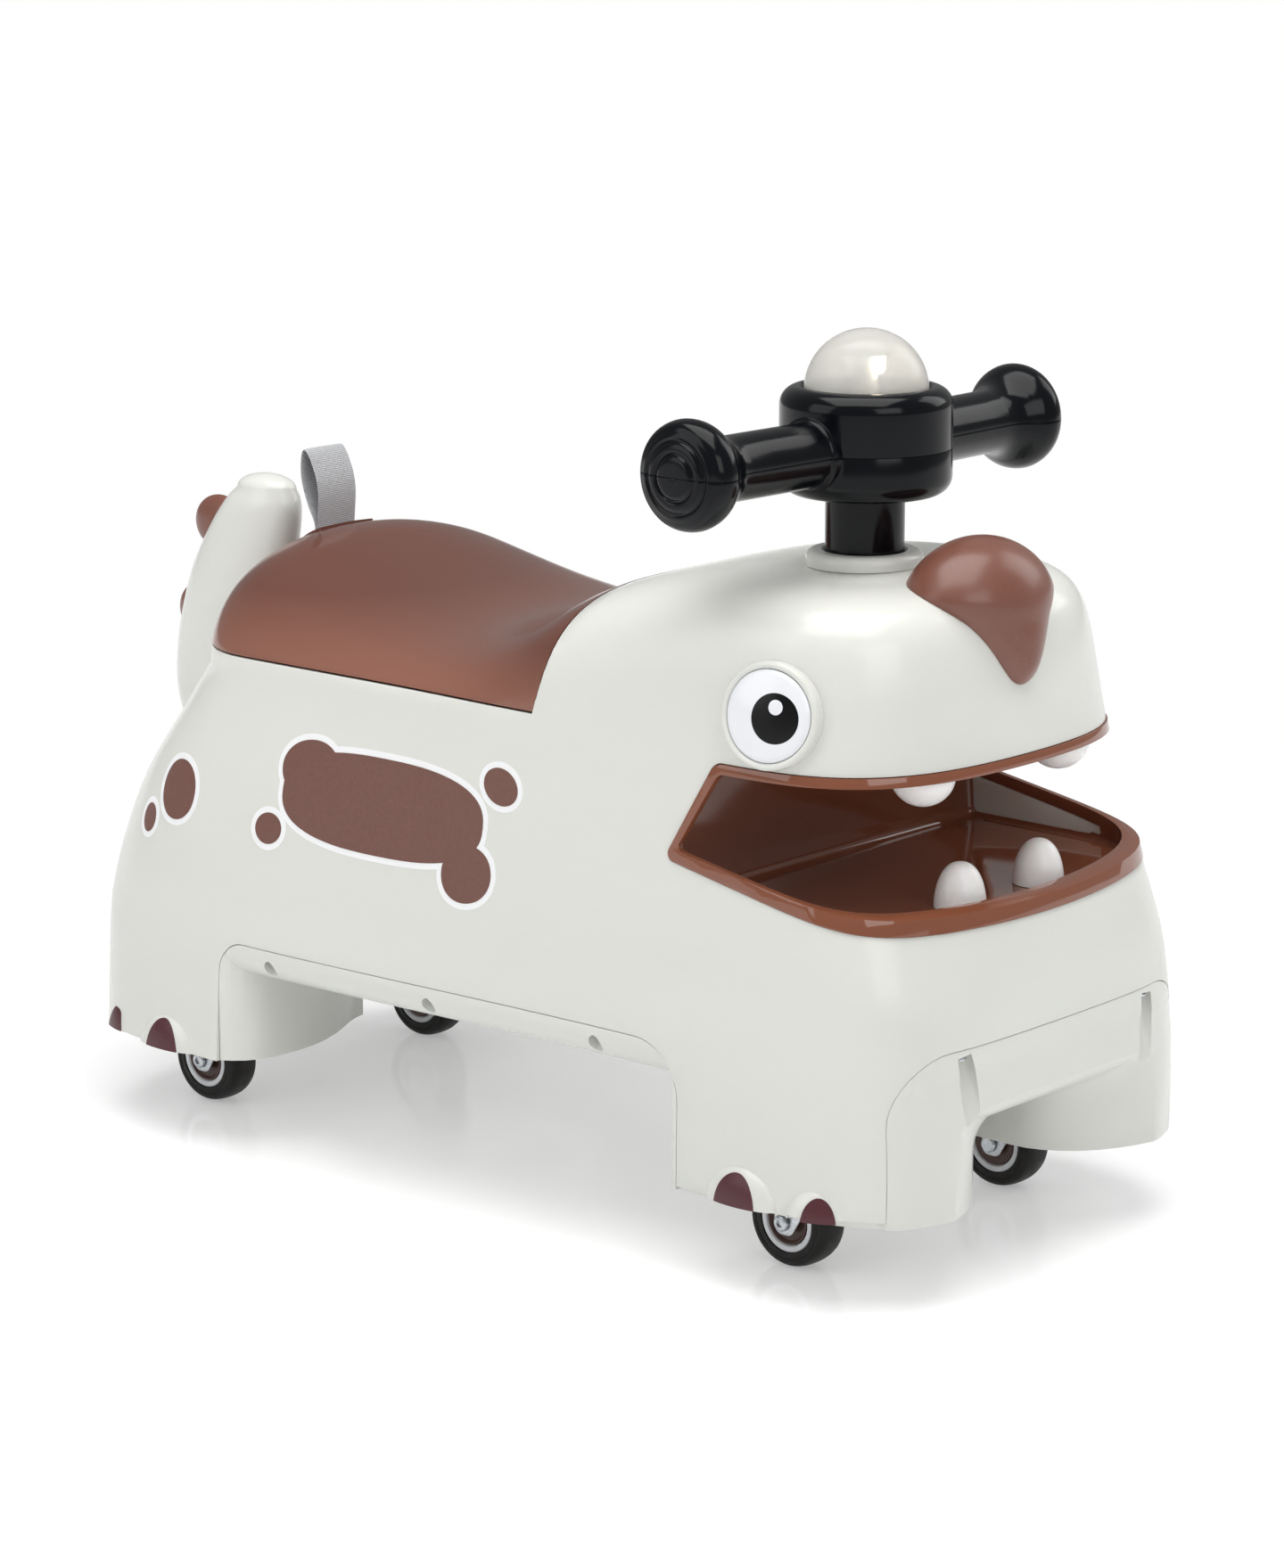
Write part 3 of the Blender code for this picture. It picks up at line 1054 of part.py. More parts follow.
def build_light(looks):
    centre = (0, STEER_Y, 0)
    inner = HUB_DRUM_RADIUS - HUB_DRUM_WALL - FIT_GAP
    flange_top = HUB_DRUM_TOP_Z - HUB_LIP - TOUCH_GAP
    flange_low = flange_top - DOME_FLANGE
    inside = DOME_RADIUS - DOME_WALL
    outer_arc = arc((0, DOME_CENTRE_Z), DOME_RADIUS, 0, 90, 6)[:-1] + [(0, DOME_CENTRE_Z + DOME_RADIUS)]
    inner_arc = arc((0, DOME_CENTRE_Z), inside, 90, 0, 5)[1:]
    flange_out = inner - DOME_FLANGE_GAP
    profile = [(inside, flange_low), (flange_out, flange_low), (flange_out, flange_top),
               (DOME_RADIUS, flange_top)] + outer_arc + [(0, DOME_CENTRE_Z + inside)] + inner_arc
    dome = turned("light_dome", profile, LIGHT_SIDES, centre, closed=True)
    finish(dome, looks["dome"], 35)
    post_top = DOME_CENTRE_Z + POST_RISE
    foot = HUB_DRUM_BOTTOM_Z + HUB_DRUM_WALL + TOUCH_GAP
    tray_in = inner - TRAY_FLOOR
    floor_top = TRAY_Z + TRAY_FLOOR
    stop = flange_low - DOME_TRAVEL
    tray = turned("battery_tray", [
        (tray_in, foot), (inner, foot), (inner, stop), (tray_in, stop), (tray_in, floor_top),
        (POST_RADIUS, floor_top), (POST_RADIUS, post_top), (0, post_top), (0, TRAY_Z), (tray_in, TRAY_Z)],
        LIGHT_SIDES, centre, closed=True)
    finish(tray, looks["white"])
    board_low = post_top + TOUCH_GAP
    board_high = board_low + BOARD_THICKNESS
    board = turned("circuit_board", [(0, board_low), (BOARD_RADIUS, board_low), (BOARD_RADIUS, board_high),
                                     (0, board_high)], 14, centre)
    finish(board, looks["board"])
    lamp_y = STEER_Y - POST_RADIUS - LAMP_RADIUS - TOUCH_GAP
    lamp_profile = arc((0, post_top - LAMP_DROP + LAMP_RADIUS), LAMP_RADIUS, -90, 0, 3)
    lamp_profile[0] = (0, post_top - LAMP_DROP)
    lamp = turned("lamp", lamp_profile + [(LAMP_RADIUS, post_top), (0, post_top)], 10, (0, lamp_y, 0))
    finish(lamp, looks["lamp"])
    for index in range(3):
        angle = math.pi / 2 + index * 2 * math.pi / 3
        spot = (CELL_CIRCLE * math.cos(angle), STEER_Y + CELL_CIRCLE * math.sin(angle), 0)
        low = floor_top + TOUCH_GAP
        cell = rod(f"button_cell_{index + 1}", CELL_RADIUS, low, low + CELL_HEIGHT, 12, spot)
        finish(cell, looks["zinc"])
    spring_low = floor_top + TOUCH_GAP + SPRING_WIRE
    spring_high = flange_low - TOUCH_GAP - SPRING_WIRE
    spring = coil("dome_spring", SPRING_RADIUS, SPRING_WIRE, spring_low, spring_high, SPRING_TURNS)
    spring.data.transform(Matrix.Translation(centre))
    finish(spring, looks["zinc"], 60)


def coil(name, radius, wire, low, high, turns, per_turn=12, sides=6):
    """A helical spring of round wire about Z, one closed tube with flat ends."""
    mesh = bmesh.new()
    count = int(turns * per_turn) + 1
    rings = []
    for index in range(count):
        angle = 2 * math.pi * index / per_turn
        height = low + (high - low) * index / (count - 1)
        outward = Vector((math.cos(angle), math.sin(angle), 0))
        middle = outward * radius + Vector((0, 0, height))
        ring = []
        for side in range(sides):
            turn = 2 * math.pi * side / sides
            lift = Vector((0, 0, wire * math.sin(turn)))
            ring.append(mesh.verts.new(middle + outward * wire * math.cos(turn) + lift))
        rings.append(ring)
    for lower, upper in zip(rings, rings[1:]):
        for side in range(sides):
            after = (side + 1) % sides
            mesh.faces.new((lower[side], lower[after], upper[after], upper[side]))
    mesh.faces.new(rings[0])
    mesh.faces.new(rings[-1])
    bmesh.ops.recalc_face_normals(mesh, faces=mesh.faces)
    return mesh_object(name, mesh)


def tail_form(name, inflate):
    mesh = bmesh.new()
    rings = []
    for y, z, half_x, half_y in TAIL_PATH:
        ring = []
        for step in range(TAIL_SIDES):
            angle = 2 * math.pi * step / TAIL_SIDES
            ring.append(mesh.verts.new(((half_x + inflate) * math.cos(angle),
                                        y + (half_y + inflate) * math.sin(angle), z)))
        rings.append(ring)
    for lower, upper in zip(rings, rings[1:]):
        for step in range(TAIL_SIDES):
            after = (step + 1) % TAIL_SIDES
            mesh.faces.new((lower[step], lower[after], upper[after], upper[step]))
    mesh.faces.new(rings[0])
    tip = mesh.verts.new((0, TAIL_PATH[-1][0], TAIL_PATH[-1][1] + TAIL_TIP_RISE + inflate))
    for step in range(TAIL_SIDES):
        mesh.faces.new((rings[-1][step], rings[-1][(step + 1) % TAIL_SIDES], tip))
    bmesh.ops.recalc_face_normals(mesh, faces=mesh.faces)
    return mesh_object(name, mesh)


def build_tail(look, spike_look):
    tail = tail_form("tail", 0.0)
    combine(tail, outer_skin("tail_skin", TAIL_SKIN_BOTTOM_Z))
    finish(tail, look, 50)
    for word, place, reach in TAIL_SPIKES:
        mesh = bmesh.new()
        bmesh.ops.create_uvsphere(mesh, u_segments=10, v_segments=8, radius=1)
        for vertex in mesh.verts:
            x, y, z = vertex.co
            vertex.co = Vector((x * SPIKE_HALF_WIDTH, y * reach, z * SPIKE_HALF_HEIGHT)) + Vector(place)
        spike = mesh_object(f"tail_spike_{word}", mesh)
        combine(spike, tail_form(f"tail_allowance_{word}", TOUCH_GAP))
        finish(spike, spike_look, 50)


def main():
    for item in list(bpy.data.objects):
        bpy.data.objects.remove(item, do_unlink=True)
    looks = {
        "body": material("white_plastic", (0.745, 0.737, 0.701), 0.28),
        "seat": material("seat_brown", (0.191, 0.105, 0.082), 0.25),
        "brown": material("brown_plastic", (0.185, 0.082, 0.062), 0.3),
        "mouth": material("mouth_brown", (0.165, 0.065, 0.040), 0.2),
        "black": material("black_plastic", (0.004, 0.004, 0.006), 0.2),
        "white": material("bright_white_plastic", (0.86, 0.87, 0.88), 0.25),
        "tyre": material("tyre_black", (0.012, 0.012, 0.012), 0.6),
        "zinc": material("zinc_plate", (0.55, 0.56, 0.58), 0.35, 1.0),
        "dome": material("milky_dome", (0.80, 0.80, 0.74), 0.15, 0.0, 0.7),
        "board": material("circuit_green", (0.02, 0.22, 0.06), 0.5),
        "lamp": material("lamp_clear", (0.95, 0.93, 0.80), 0.1),
        "webbing": material("grey_webbing", (0.36, 0.36, 0.37), 0.9),
    }
    build_body_shell(looks["body"])
    build_base_shell(looks["body"])
    build_bin(looks["body"])
    build_lid(looks["seat"])
    build_strap(looks["webbing"])
    build_mouth(looks["mouth"], looks["white"])
    build_eyes(looks["body"], looks["white"])
    build_nose(looks["brown"])
    build_steering(looks)
    build_handlebar(looks)
    build_light(looks)
    build_tail(looks["body"], looks["brown"])
    for side, is_front in LEGS:
        tag = ("front" if is_front else "rear") + ("_left" if side > 0 else "_right")
        build_caster(tag, side, is_front, looks)
    for item in bpy.data.objects:
        item.location.y += BOX_SHIFT_Y


main()
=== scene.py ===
import math

import bmesh
import bpy
from mathutils import Matrix, Vector


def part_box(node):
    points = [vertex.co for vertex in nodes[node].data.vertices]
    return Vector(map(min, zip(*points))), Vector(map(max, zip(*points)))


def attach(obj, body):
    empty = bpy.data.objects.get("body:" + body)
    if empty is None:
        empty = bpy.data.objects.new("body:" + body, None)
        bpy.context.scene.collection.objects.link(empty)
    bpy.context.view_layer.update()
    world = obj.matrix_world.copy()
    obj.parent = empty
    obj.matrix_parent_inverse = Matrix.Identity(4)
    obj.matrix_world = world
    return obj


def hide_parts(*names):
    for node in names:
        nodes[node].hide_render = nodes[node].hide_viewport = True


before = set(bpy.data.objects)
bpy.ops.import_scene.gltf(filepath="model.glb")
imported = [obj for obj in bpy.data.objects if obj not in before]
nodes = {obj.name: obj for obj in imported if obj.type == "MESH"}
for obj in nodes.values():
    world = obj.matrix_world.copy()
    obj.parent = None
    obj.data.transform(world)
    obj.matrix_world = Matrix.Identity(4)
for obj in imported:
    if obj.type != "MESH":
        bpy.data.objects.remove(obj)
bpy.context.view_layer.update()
shiftY = -0.0089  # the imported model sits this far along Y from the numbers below
print("frame loaded:", len(nodes), "nodes")


# Everyday helpers

def onlySelect(piece):
    for other in list(bpy.context.selected_objects):
        other.select_set(False)
    bpy.context.view_layer.objects.active = piece
    piece.select_set(True)


def bake(piece):
    # applies every modifier in turn
    onlySelect(piece)
    for modifier in list(piece.modifiers):
        bpy.ops.object.modifier_apply(modifier=modifier.name)
    return piece


def combine(piece, tool, how="DIFFERENCE"):
    modifier = piece.modifiers.new(how.title(), "BOOLEAN")
    modifier.operation = how
    modifier.object = tool
    modifier.solver = "EXACT"
    bake(piece)
    bpy.data.objects.remove(tool)
    return piece


def fromMesh(name, shape):
    data = bpy.data.meshes.new(name)
    shape.to_mesh(data)
    shape.free()
    piece = bpy.data.objects.new(name, data)
    bpy.context.scene.collection.objects.link(piece)
    return piece


def smoothShade(piece, degrees=35):
    onlySelect(piece)
    bpy.ops.object.shade_smooth_by_angle(angle=math.radians(degrees))
    return piece


def softenEdges(piece, width, segments=2, degrees=40):
    modifier = piece.modifiers.new("Edge", "BEVEL")
    modifier.width = width
    modifier.segments = segments
    modifier.limit_method = "ANGLE"
    modifier.angle_limit = math.radians(degrees)
    modifier.use_clamp_overlap = True
    return bake(piece)


def dress(piece, look):
    piece.data.materials.clear()
    piece.data.materials.append(look)
    return piece


def mount(piece, body, replaced=()):
    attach(piece, body)
    if replaced:
        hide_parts(*replaced)
    return piece


def finishPiece(piece, degrees, look, body, replaced):
    # shades and colours a piece before it is mounted
    dress(smoothShade(piece, degrees), looks[look])
    return mount(piece, body, replaced)


def copyOf(source, name):
    copy = bpy.data.objects.new(name, source.data.copy())
    bpy.context.scene.collection.objects.link(copy)
    return copy


def roundedPath(corners, radii, steps=6):
    # a closed path through the corners, each rounded by its radius
    path = []
    count = len(corners)
    for index, corner in enumerate(corners):
        here = Vector(corner)
        back = (Vector(corners[index - 1]) - here).normalized()
        ahead = (Vector(corners[(index + 1) % count]) - here).normalized()
        radius = radii[index] if isinstance(radii, (list, tuple)) else radii
        if radius <= 0:
            path.append(tuple(here))
            continue
        half = back.angle(ahead) / 2
        reach = radius / math.tan(half)
        centre = here + (back + ahead).normalized() * radius / math.sin(half)
        start, end = here + back * reach - centre, here + ahead * reach - centre
        sweep = start.angle_signed(end)
        for step in range(steps + 1):
            turn = -sweep * step / steps
            cosine, sine = math.cos(turn), math.sin(turn)
            path.append((centre.x + start.x * cosine - start.y * sine,
                         centre.y + start.x * sine + start.y * cosine))
    return path


def slab(name, path, axis, low, high):
    # the path pushed out along an axis; used for cutting tools
    spots = {"X": lambda a, b, c: (c, a, b), "Y": lambda a, b, c: (a, c, b), "Z": lambda a, b, c: (a, b, c)}
    place = spots[axis]
    shape = bmesh.new()
    near = [shape.verts.new(place(a, b, low)) for a, b in path]
    far = [shape.verts.new(place(a, b, high)) for a, b in path]
    shape.faces.new(near)
    shape.faces.new(far)
    for index in range(len(path)):
        after = (index + 1) % len(path)
        shape.faces.new((near[index], near[after], far[after], far[index]))
    bmesh.ops.recalc_face_normals(shape, faces=shape.faces)
    return fromMesh(name, shape)


def block(name, xSpan, ySpan, zSpan):
    x0, x1 = xSpan
    y0, y1 = ySpan
    return slab(name, [(x0, y0), (x1, y0), (x1, y1), (x0, y1)], "Z", *zSpan)


def lathe(name, profile, steps, place=(0, 0, 0), axis="Z", ringed=False):
    # a circle drawn out step by step along its axis; profile is (radius, height), from one end to the other
    for other in list(bpy.context.selected_objects):
        other.select_set(False)
    startPole = profile[0][0] == 0
    endPole = profile[-1][0] == 0
    rings = profile[1:] if startPole else profile
    rings = rings[:-1] if endPole else rings
    if ringed:
        rings = rings + [rings[0]]
    radius, height = rings[0]
    bpy.ops.mesh.primitive_circle_add(vertices=steps, radius=radius, enter_editmode=True)
    piece = bpy.context.object
    piece.name = name
    bpy.ops.transform.translate(value=(0, 0, height))
    for nextRadius, nextHeight in rings[1:]:
        bpy.ops.mesh.extrude_edges_move(TRANSFORM_OT_translate={"value": (0, 0, nextHeight - height)})
        grow = nextRadius / radius
        bpy.ops.transform.resize(value=(grow, grow, 1))
        radius, height = nextRadius, nextHeight
    if endPole:
        bpy.ops.mesh.extrude_edges_move(TRANSFORM_OT_translate={"value": (0, 0, profile[-1][1] - height)})
        bpy.ops.mesh.merge(type="CENTER")
    if startPole:
        bpy.ops.mesh.select_all(action="DESELECT")
        bpy.ops.mesh.select_non_manifold(extend=False, use_wire=False, use_multi_face=False,
                                         use_non_contiguous=False, use_verts=False)
        back = profile[0][1] - rings[0][1]
        bpy.ops.mesh.extrude_edges_move(TRANSFORM_OT_translate={"value": (0, 0, back)})
        bpy.ops.mesh.merge(type="CENTER")
    bpy.ops.mesh.select_all(action="SELECT")
    bpy.ops.mesh.remove_doubles(threshold=0.000005)
    bpy.ops.mesh.normals_make_consistent(inside=False)
    bpy.ops.object.mode_set(mode="OBJECT")
    turns = {"X": Matrix.Rotation(math.pi / 2, 4, "Y"), "Y": Matrix.Rotation(-math.pi / 2, 4, "X"),
             "Z": Matrix()}
    piece.data.transform(Matrix.Translation(place) @ turns[axis])
    return piece


def refined(node, width=0.0004, segments=2, degrees=32):
    # a merged copy of a CAD node with its edges eased
    copy = copyOf(nodes[node], node + "_fine")
    copy.data.materials.clear()
    onlySelect(copy)
    bpy.ops.object.mode_set(mode="EDIT")
    bpy.ops.mesh.select_all(action="SELECT")
    bpy.ops.mesh.customdata_custom_splitnormals_clear()
    bpy.ops.mesh.remove_doubles(threshold=0.00001)
    bpy.ops.mesh.dissolve_limited(angle_limit=math.radians(2))
    bpy.ops.object.mode_set(mode="OBJECT")
    if width:
        softenEdges(copy, width, segments, degrees)
    return smoothShade(copy, 40)


# Materials

def shown(red, green, blue):
    # a colour as it is seen on screen, 0 to 255, as the shader wants it
    linear = []
    for value in (red, green, blue):
        value /= 255
        linear.append(value / 12.92 if value <= 0.04045 else ((value + 0.055) / 1.055) ** 2.4)
    return (*linear, 1.0)


class lookNodes:
    def __init__(self, name):
        self.look = bpy.data.materials.new(name)
        self.look.use_nodes = True
        self.tree = self.look.node_tree
        self.shader = self.tree.nodes["Principled BSDF"]
        self.place = self.add("ShaderNodeTexCoord")

    def add(self, kind, **settings):
        node = self.tree.nodes.new(kind)
        for key, value in settings.items():
            setattr(node, key, value)
        return node

    def join(self, source, target):
        self.tree.links.new(source, target)

    def feed(self, source, socket):
        self.join(source, self.shader.inputs[socket])

    def noise(self, scale, detail=2.0, rough=0.5, stretch=(1, 1, 1), source="Object"):
        mapping = self.add("ShaderNodeMapping")
        mapping.inputs["Scale"].default_value = stretch
        self.join(self.place.outputs[source], mapping.inputs["Vector"])
        texture = self.add("ShaderNodeTexNoise")
        texture.inputs["Scale"].default_value = scale
        texture.inputs["Detail"].default_value = detail
        texture.inputs["Roughness"].default_value = rough
        self.join(mapping.outputs["Vector"], texture.inputs["Vector"])
        return texture.outputs["Fac"]

    def ramp(self, source, low=0.3, high=0.7, start=0.0, end=1.0):
        # maps the source from low..high to start..end
        node = self.add("ShaderNodeMapRange")
        for socket, value in zip(("From Min", "From Max", "To Min", "To Max"), (low, high, start, end)):
            node.inputs[socket].default_value = value
        self.join(source, node.inputs["Value"])
        return node.outputs["Result"]

    def mix(self, factor, first, second):
        node = self.add("ShaderNodeMix", data_type="RGBA")
        for socket, value in zip((6, 7), (first, second)):
            if isinstance(value, tuple):
                node.inputs[socket].default_value = value
            else:
                self.join(value, node.inputs[socket])
        if isinstance(factor, float):
            node.inputs[0].default_value = factor
        else:
            self.join(factor, node.inputs[0])
        return node.outputs[2]

    def bump(self, height, strength, distance):
        node = self.add("ShaderNodeBump")
        node.inputs["Strength"].default_value = strength
        node.inputs["Distance"].default_value = distance
        self.join(height, node.inputs["Height"])
        self.join(node.outputs["Normal"], self.shader.inputs["Normal"])

    def set(self, **values):
        for key, value in values.items():
            self.shader.inputs[key.replace("_", " ")].default_value = value


def mouldedPlastic(name, colour, roughness, spread=0.03, peel=0.05, coat=0.0, subsurface=0.0, shine=0.5,
                   keep=False):
    # injection-moulded plastic: faint flow tones, uneven polish and a fine orange peel
    made = lookNodes(name)
    dark = tuple(value * (1 - spread) for value in colour[:3]) + (1.0,)
    light = tuple(min(1.0, value * (1 + spread)) for value in colour[:3]) + (1.0,)
    flow = made.ramp(made.noise(9, 3, 0.6, (1, 0.4, 1.6)))
    made.feed(made.mix(flow, dark, light), "Base Color")
    polish = made.ramp(made.noise(38, 4, 0.6), 0.3, 0.7, roughness * 0.86, roughness * 1.16)
    made.feed(polish, "Roughness")
    made.bump(made.noise(900, 2, 0.5), peel, 0.0002)
    made.set(Coat_Weight=coat, Coat_Roughness=0.06, Subsurface_Weight=subsurface, Subsurface_Scale=0.004,
             Specular_IOR_Level=shine)
    return made if keep else made.look


def seatPlasticWithPaintedLight(name, settings, paintedLightRim, paintedLightHeights):
    # the seat's plastic, painted paler towards its thin lower rim as painted light on its sides, and darker
    # on top as painted shade
    made = mouldedPlastic(name, **settings, keep=True)
    split = made.add("ShaderNodeSeparateXYZ")
    made.join(made.place.outputs["Object"], split.inputs["Vector"])
    top = made.shader.inputs["Base Color"].links[0].from_socket
    # painted light and shade: the paler rim colour low on the seat, the darker colour on its top
    made.feed(made.mix(made.ramp(split.outputs["Z"], *paintedLightHeights, 0.0, 1.0), paintedLightRim, top), "Base Color")
    return made.look


plasticSettings = {
    "body": {"colour": shown(226, 227, 221), "roughness": 0.2, "spread": 0.012, "peel": 0.04,
             "subsurface": 0.03},
    "bright": {"colour": shown(241, 243, 247), "roughness": 0.2, "spread": 0.008, "peel": 0.03, "coat": 0.2},
    "tooth": {"colour": shown(252, 252, 250), "roughness": 0.26, "spread": 0.006, "peel": 0.03,
              "subsurface": 0.2},
    "brown": {"colour": shown(124, 80, 67), "roughness": 0.3, "spread": 0.03, "peel": 0.04, "coat": 0.05},
    "mouth": {"colour": shown(133, 80, 58), "roughness": 0.07, "spread": 0.03, "peel": 0.01, "coat": 0.4},
    "black": {"colour": shown(9, 11, 15), "roughness": 0.15, "spread": 0.06, "peel": 0.03, "shine": 0.22},
    "nail": {"colour": shown(86, 48, 52), "roughness": 0.3, "spread": 0.03, "peel": 0.04, "shine": 0.35},
    "hub": {"colour": shown(80, 56, 50), "roughness": 0.36, "spread": 0.05, "peel": 0.06, "shine": 0.4},
    "ink": {"colour": shown(15, 15, 17), "roughness": 0.25, "spread": 0.02, "peel": 0.02, "shine": 0.25},
    "binWhite": {"colour": shown(215, 215, 210), "roughness": 0.5, "spread": 0.02, "peel": 0.12},
}
looks = {name: mouldedPlastic("plastic_" + name, **settings) for name, settings in plasticSettings.items()}


def patchFilm(name, colour, speckle):
    # printed vinyl film with a faint leathery fleck
    made = lookNodes(name)
    fleck = made.ramp(made.noise(520, 3, 0.7), 0.35, 0.65, 0.0, 1.0)
    dark = tuple(value * (1 - speckle) for value in colour[:3]) + (1.0,)
    light = tuple(min(1.0, value * (1 + speckle)) for value in colour[:3]) + (1.0,)
    made.feed(made.mix(fleck, dark, light), "Base Color")
    made.feed(made.ramp(made.noise(60), 0.3, 0.7, 0.3, 0.42), "Roughness")
    made.bump(made.noise(700, 3, 0.6), 0.12, 0.0002)
    return made.look


def platedSteel(name, colour, roughness):
    made = lookNodes(name)
    wear = made.ramp(made.noise(160, 4, 0.7, (1, 1, 3)))
    dull = tuple(value * 0.8 for value in colour[:3]) + (1.0,)
    made.feed(made.mix(wear, dull, colour), "Base Color")
    made.feed(made.ramp(made.noise(220, 5, 0.7), 0.25, 0.75, roughness * 0.7, roughness * 1.5), "Roughness")
    made.bump(made.noise(1200, 3, 0.6), 0.1, 0.0002)
    made.set(Metallic=1.0)
    return made.look


def wheelRubber(name):
    made = lookNodes(name)
    dust = made.ramp(made.noise(90, 5, 0.7), 0.35, 0.75, 0.0, 1.0)
    made.feed(made.mix(dust, shown(19, 17, 16), shown(30, 27, 25)), "Base Color")
    made.feed(made.ramp(made.noise(140, 3), 0.3, 0.7, 0.42, 0.6), "Roughness")
    made.bump(made.noise(1500, 2), 0.15, 0.0002)
    made.set(Specular_IOR_Level=0.3)
    return made.look


def frostedDome(name):
    made = lookNodes(name)
    haze = made.ramp(made.noise(30, 3))
    made.feed(made.mix(haze, shown(243, 241, 236), shown(249, 247, 243)), "Base Color")
    made.feed(made.ramp(made.noise(80, 3), 0.3, 0.7, 0.1, 0.2), "Roughness")
    made.bump(made.noise(300, 2), 0.03, 0.0002)
    made.set(Transmission_Weight=0.55, IOR=1.3)
    return made.look


def glowing(name, colour, strength):
    made = lookNodes(name)
    made.feed(made.mix(made.ramp(made.noise(400)), colour, shown(255, 250, 235)), "Emission Color")
    made.set(Emission_Strength=strength, Roughness=0.2, Base_Color=colour)
    return made.look


def wovenWebbing(name, settings):
    # plain woven tape: ribs across it and fine warp along it
    made = lookNodes(name)
    split = made.add("ShaderNodeSeparateXYZ")
    made.join(made.place.outputs["UV"], split.inputs["Vector"])

    def wave(source, count):
        turn = made.add("ShaderNodeMath", operation="MULTIPLY")
        turn.inputs[1].default_value = count * 2 * math.pi
        made.join(source, turn.inputs[0])
        sine = made.add("ShaderNodeMath", operation="SINE")
        made.join(turn.outputs[0], sine.inputs[0])
        return made.ramp(sine.outputs[0], -1.0, 1.0, 0.0, 1.0)

    ribs = wave(split.outputs["Y"], settings["ribs"])
    warp = wave(split.outputs["X"], settings["warps"])
    height = made.add("ShaderNodeMath", operation="MULTIPLY")
    made.join(ribs, height.inputs[0])
    made.join(made.ramp(warp, 0.0, 1.0, 0.55, 1.0), height.inputs[1])
    fibres = made.ramp(made.noise(900, 3))
    # painted shade and light: the weave's troughs are coloured darker and its ribs paler
    tone = made.mix(height.outputs[0], settings["dark"], settings["light"])
    made.feed(made.mix(made.ramp(fibres, 0.0, 1.0, 0.0, 0.3), tone, settings["fibre"]), "Base Color")
    made.feed(made.ramp(ribs, 0.0, 1.0, 0.7, 0.9), "Roughness")
    made.bump(height.outputs[0], 0.7, 0.0003)
    made.set(Sheen_Weight=0.3, Sheen_Roughness=0.5)
    return made.look


# the seat's darker top colour is painted shade, and the paler rim colour below is painted light on its sides
seatSurface = {"colour": shown(106, 68, 58), "roughness": 0.16, "spread": 0.035, "peel": 0.02, "shine": 0.35}
looks["seat"] = seatPlasticWithPaintedLight("plastic_seat", seatSurface, shown(142, 97, 82), (0.276, 0.306))
looks["patch"] = patchFilm("patch_brown", shown(115, 78, 68), 0.07)
looks["patchEdge"] = patchFilm("patch_white", shown(247, 248, 249), 0.01)
looks["zinc"] = platedSteel("zinc_plated", shown(196, 200, 204), 0.26)
looks["spring"] = platedSteel("spring_steel", shown(170, 172, 176), 0.3)
looks["tyre"] = wheelRubber("tyre_rubber")
looks["dome"] = frostedDome("frosted_dome")
looks["glow"] = glowing("lamp_glow", shown(255, 236, 190), 14.0)
looks["board"] = patchFilm("board_green", shown(38, 104, 70), 0.12)
# dark is the painted shade in the weave's troughs, light the painted light on its ribs
webbingSettings = {"ribs": 108, "warps": 22, "dark": shown(148, 150, 153), "light": shown(210, 211, 214),
                   "fibre": shown(206, 208, 210)}
looks["webbing"] = wovenWebbing("woven_webbing", webbingSettings)
print("materials made:", len(looks))


# The body's form, made finer than the solids

formSettings = {
    "frontCentreY": -0.160, "rearCentreY": 0.150, "footZ": 0.045, "shoulderZ": 0.262, "wall": 0.0026,
    # height, half width at the rear, at the front, front y, rear y, squareness front and rear, front's bow
    "levels": (
        (0.045, 0.1570, 0.1415, -0.3190, 0.2848, 4.9, 3.5, 0.0),
        (0.085, 0.1545, 0.1410, -0.3185, 0.2850, 5.0, 3.5, 0.0),
        (0.130, 0.1505, 0.1395, -0.3165, 0.2845, 5.2, 3.4, 0.004),
        (0.190, 0.1390, 0.1300, -0.3065, 0.2730, 8.0, 2.85, 0.022),
        (0.235, 0.1285, 0.1255, -0.2985, 0.2470, 5.0, 2.4, 0.018),
        (0.262, 0.1225, 0.1225, -0.2935, 0.2280, 4.2, 2.2, 0.016)),
    "crown": (
        (-0.250, 0.3495), (-0.200, 0.3490), (-0.150, 0.3475), (-0.110, 0.3435), (-0.070, 0.3330),
        (-0.035, 0.3160),
        (0.000, 0.3035), (0.040, 0.2995), (0.090, 0.3070), (0.140, 0.3205), (0.180, 0.3320), (0.205, 0.3370),
        (0.225, 0.3385)),
    "squareness": ((-0.280, 7.4), (-0.180, 7.0), (-0.100, 4.6), (-0.030, 2.8), (0.040, 2.5), (0.200, 2.2)),
    "lean": ((-0.280, 0.105), (-0.180, 0.090), (-0.100, 0.060), (-0.030, 0.015), (0.040, 0.0)),
    "cornerSteps": 30, "sideSteps": 18, "shoulderSteps": 20, "levelSteps": 22,
}


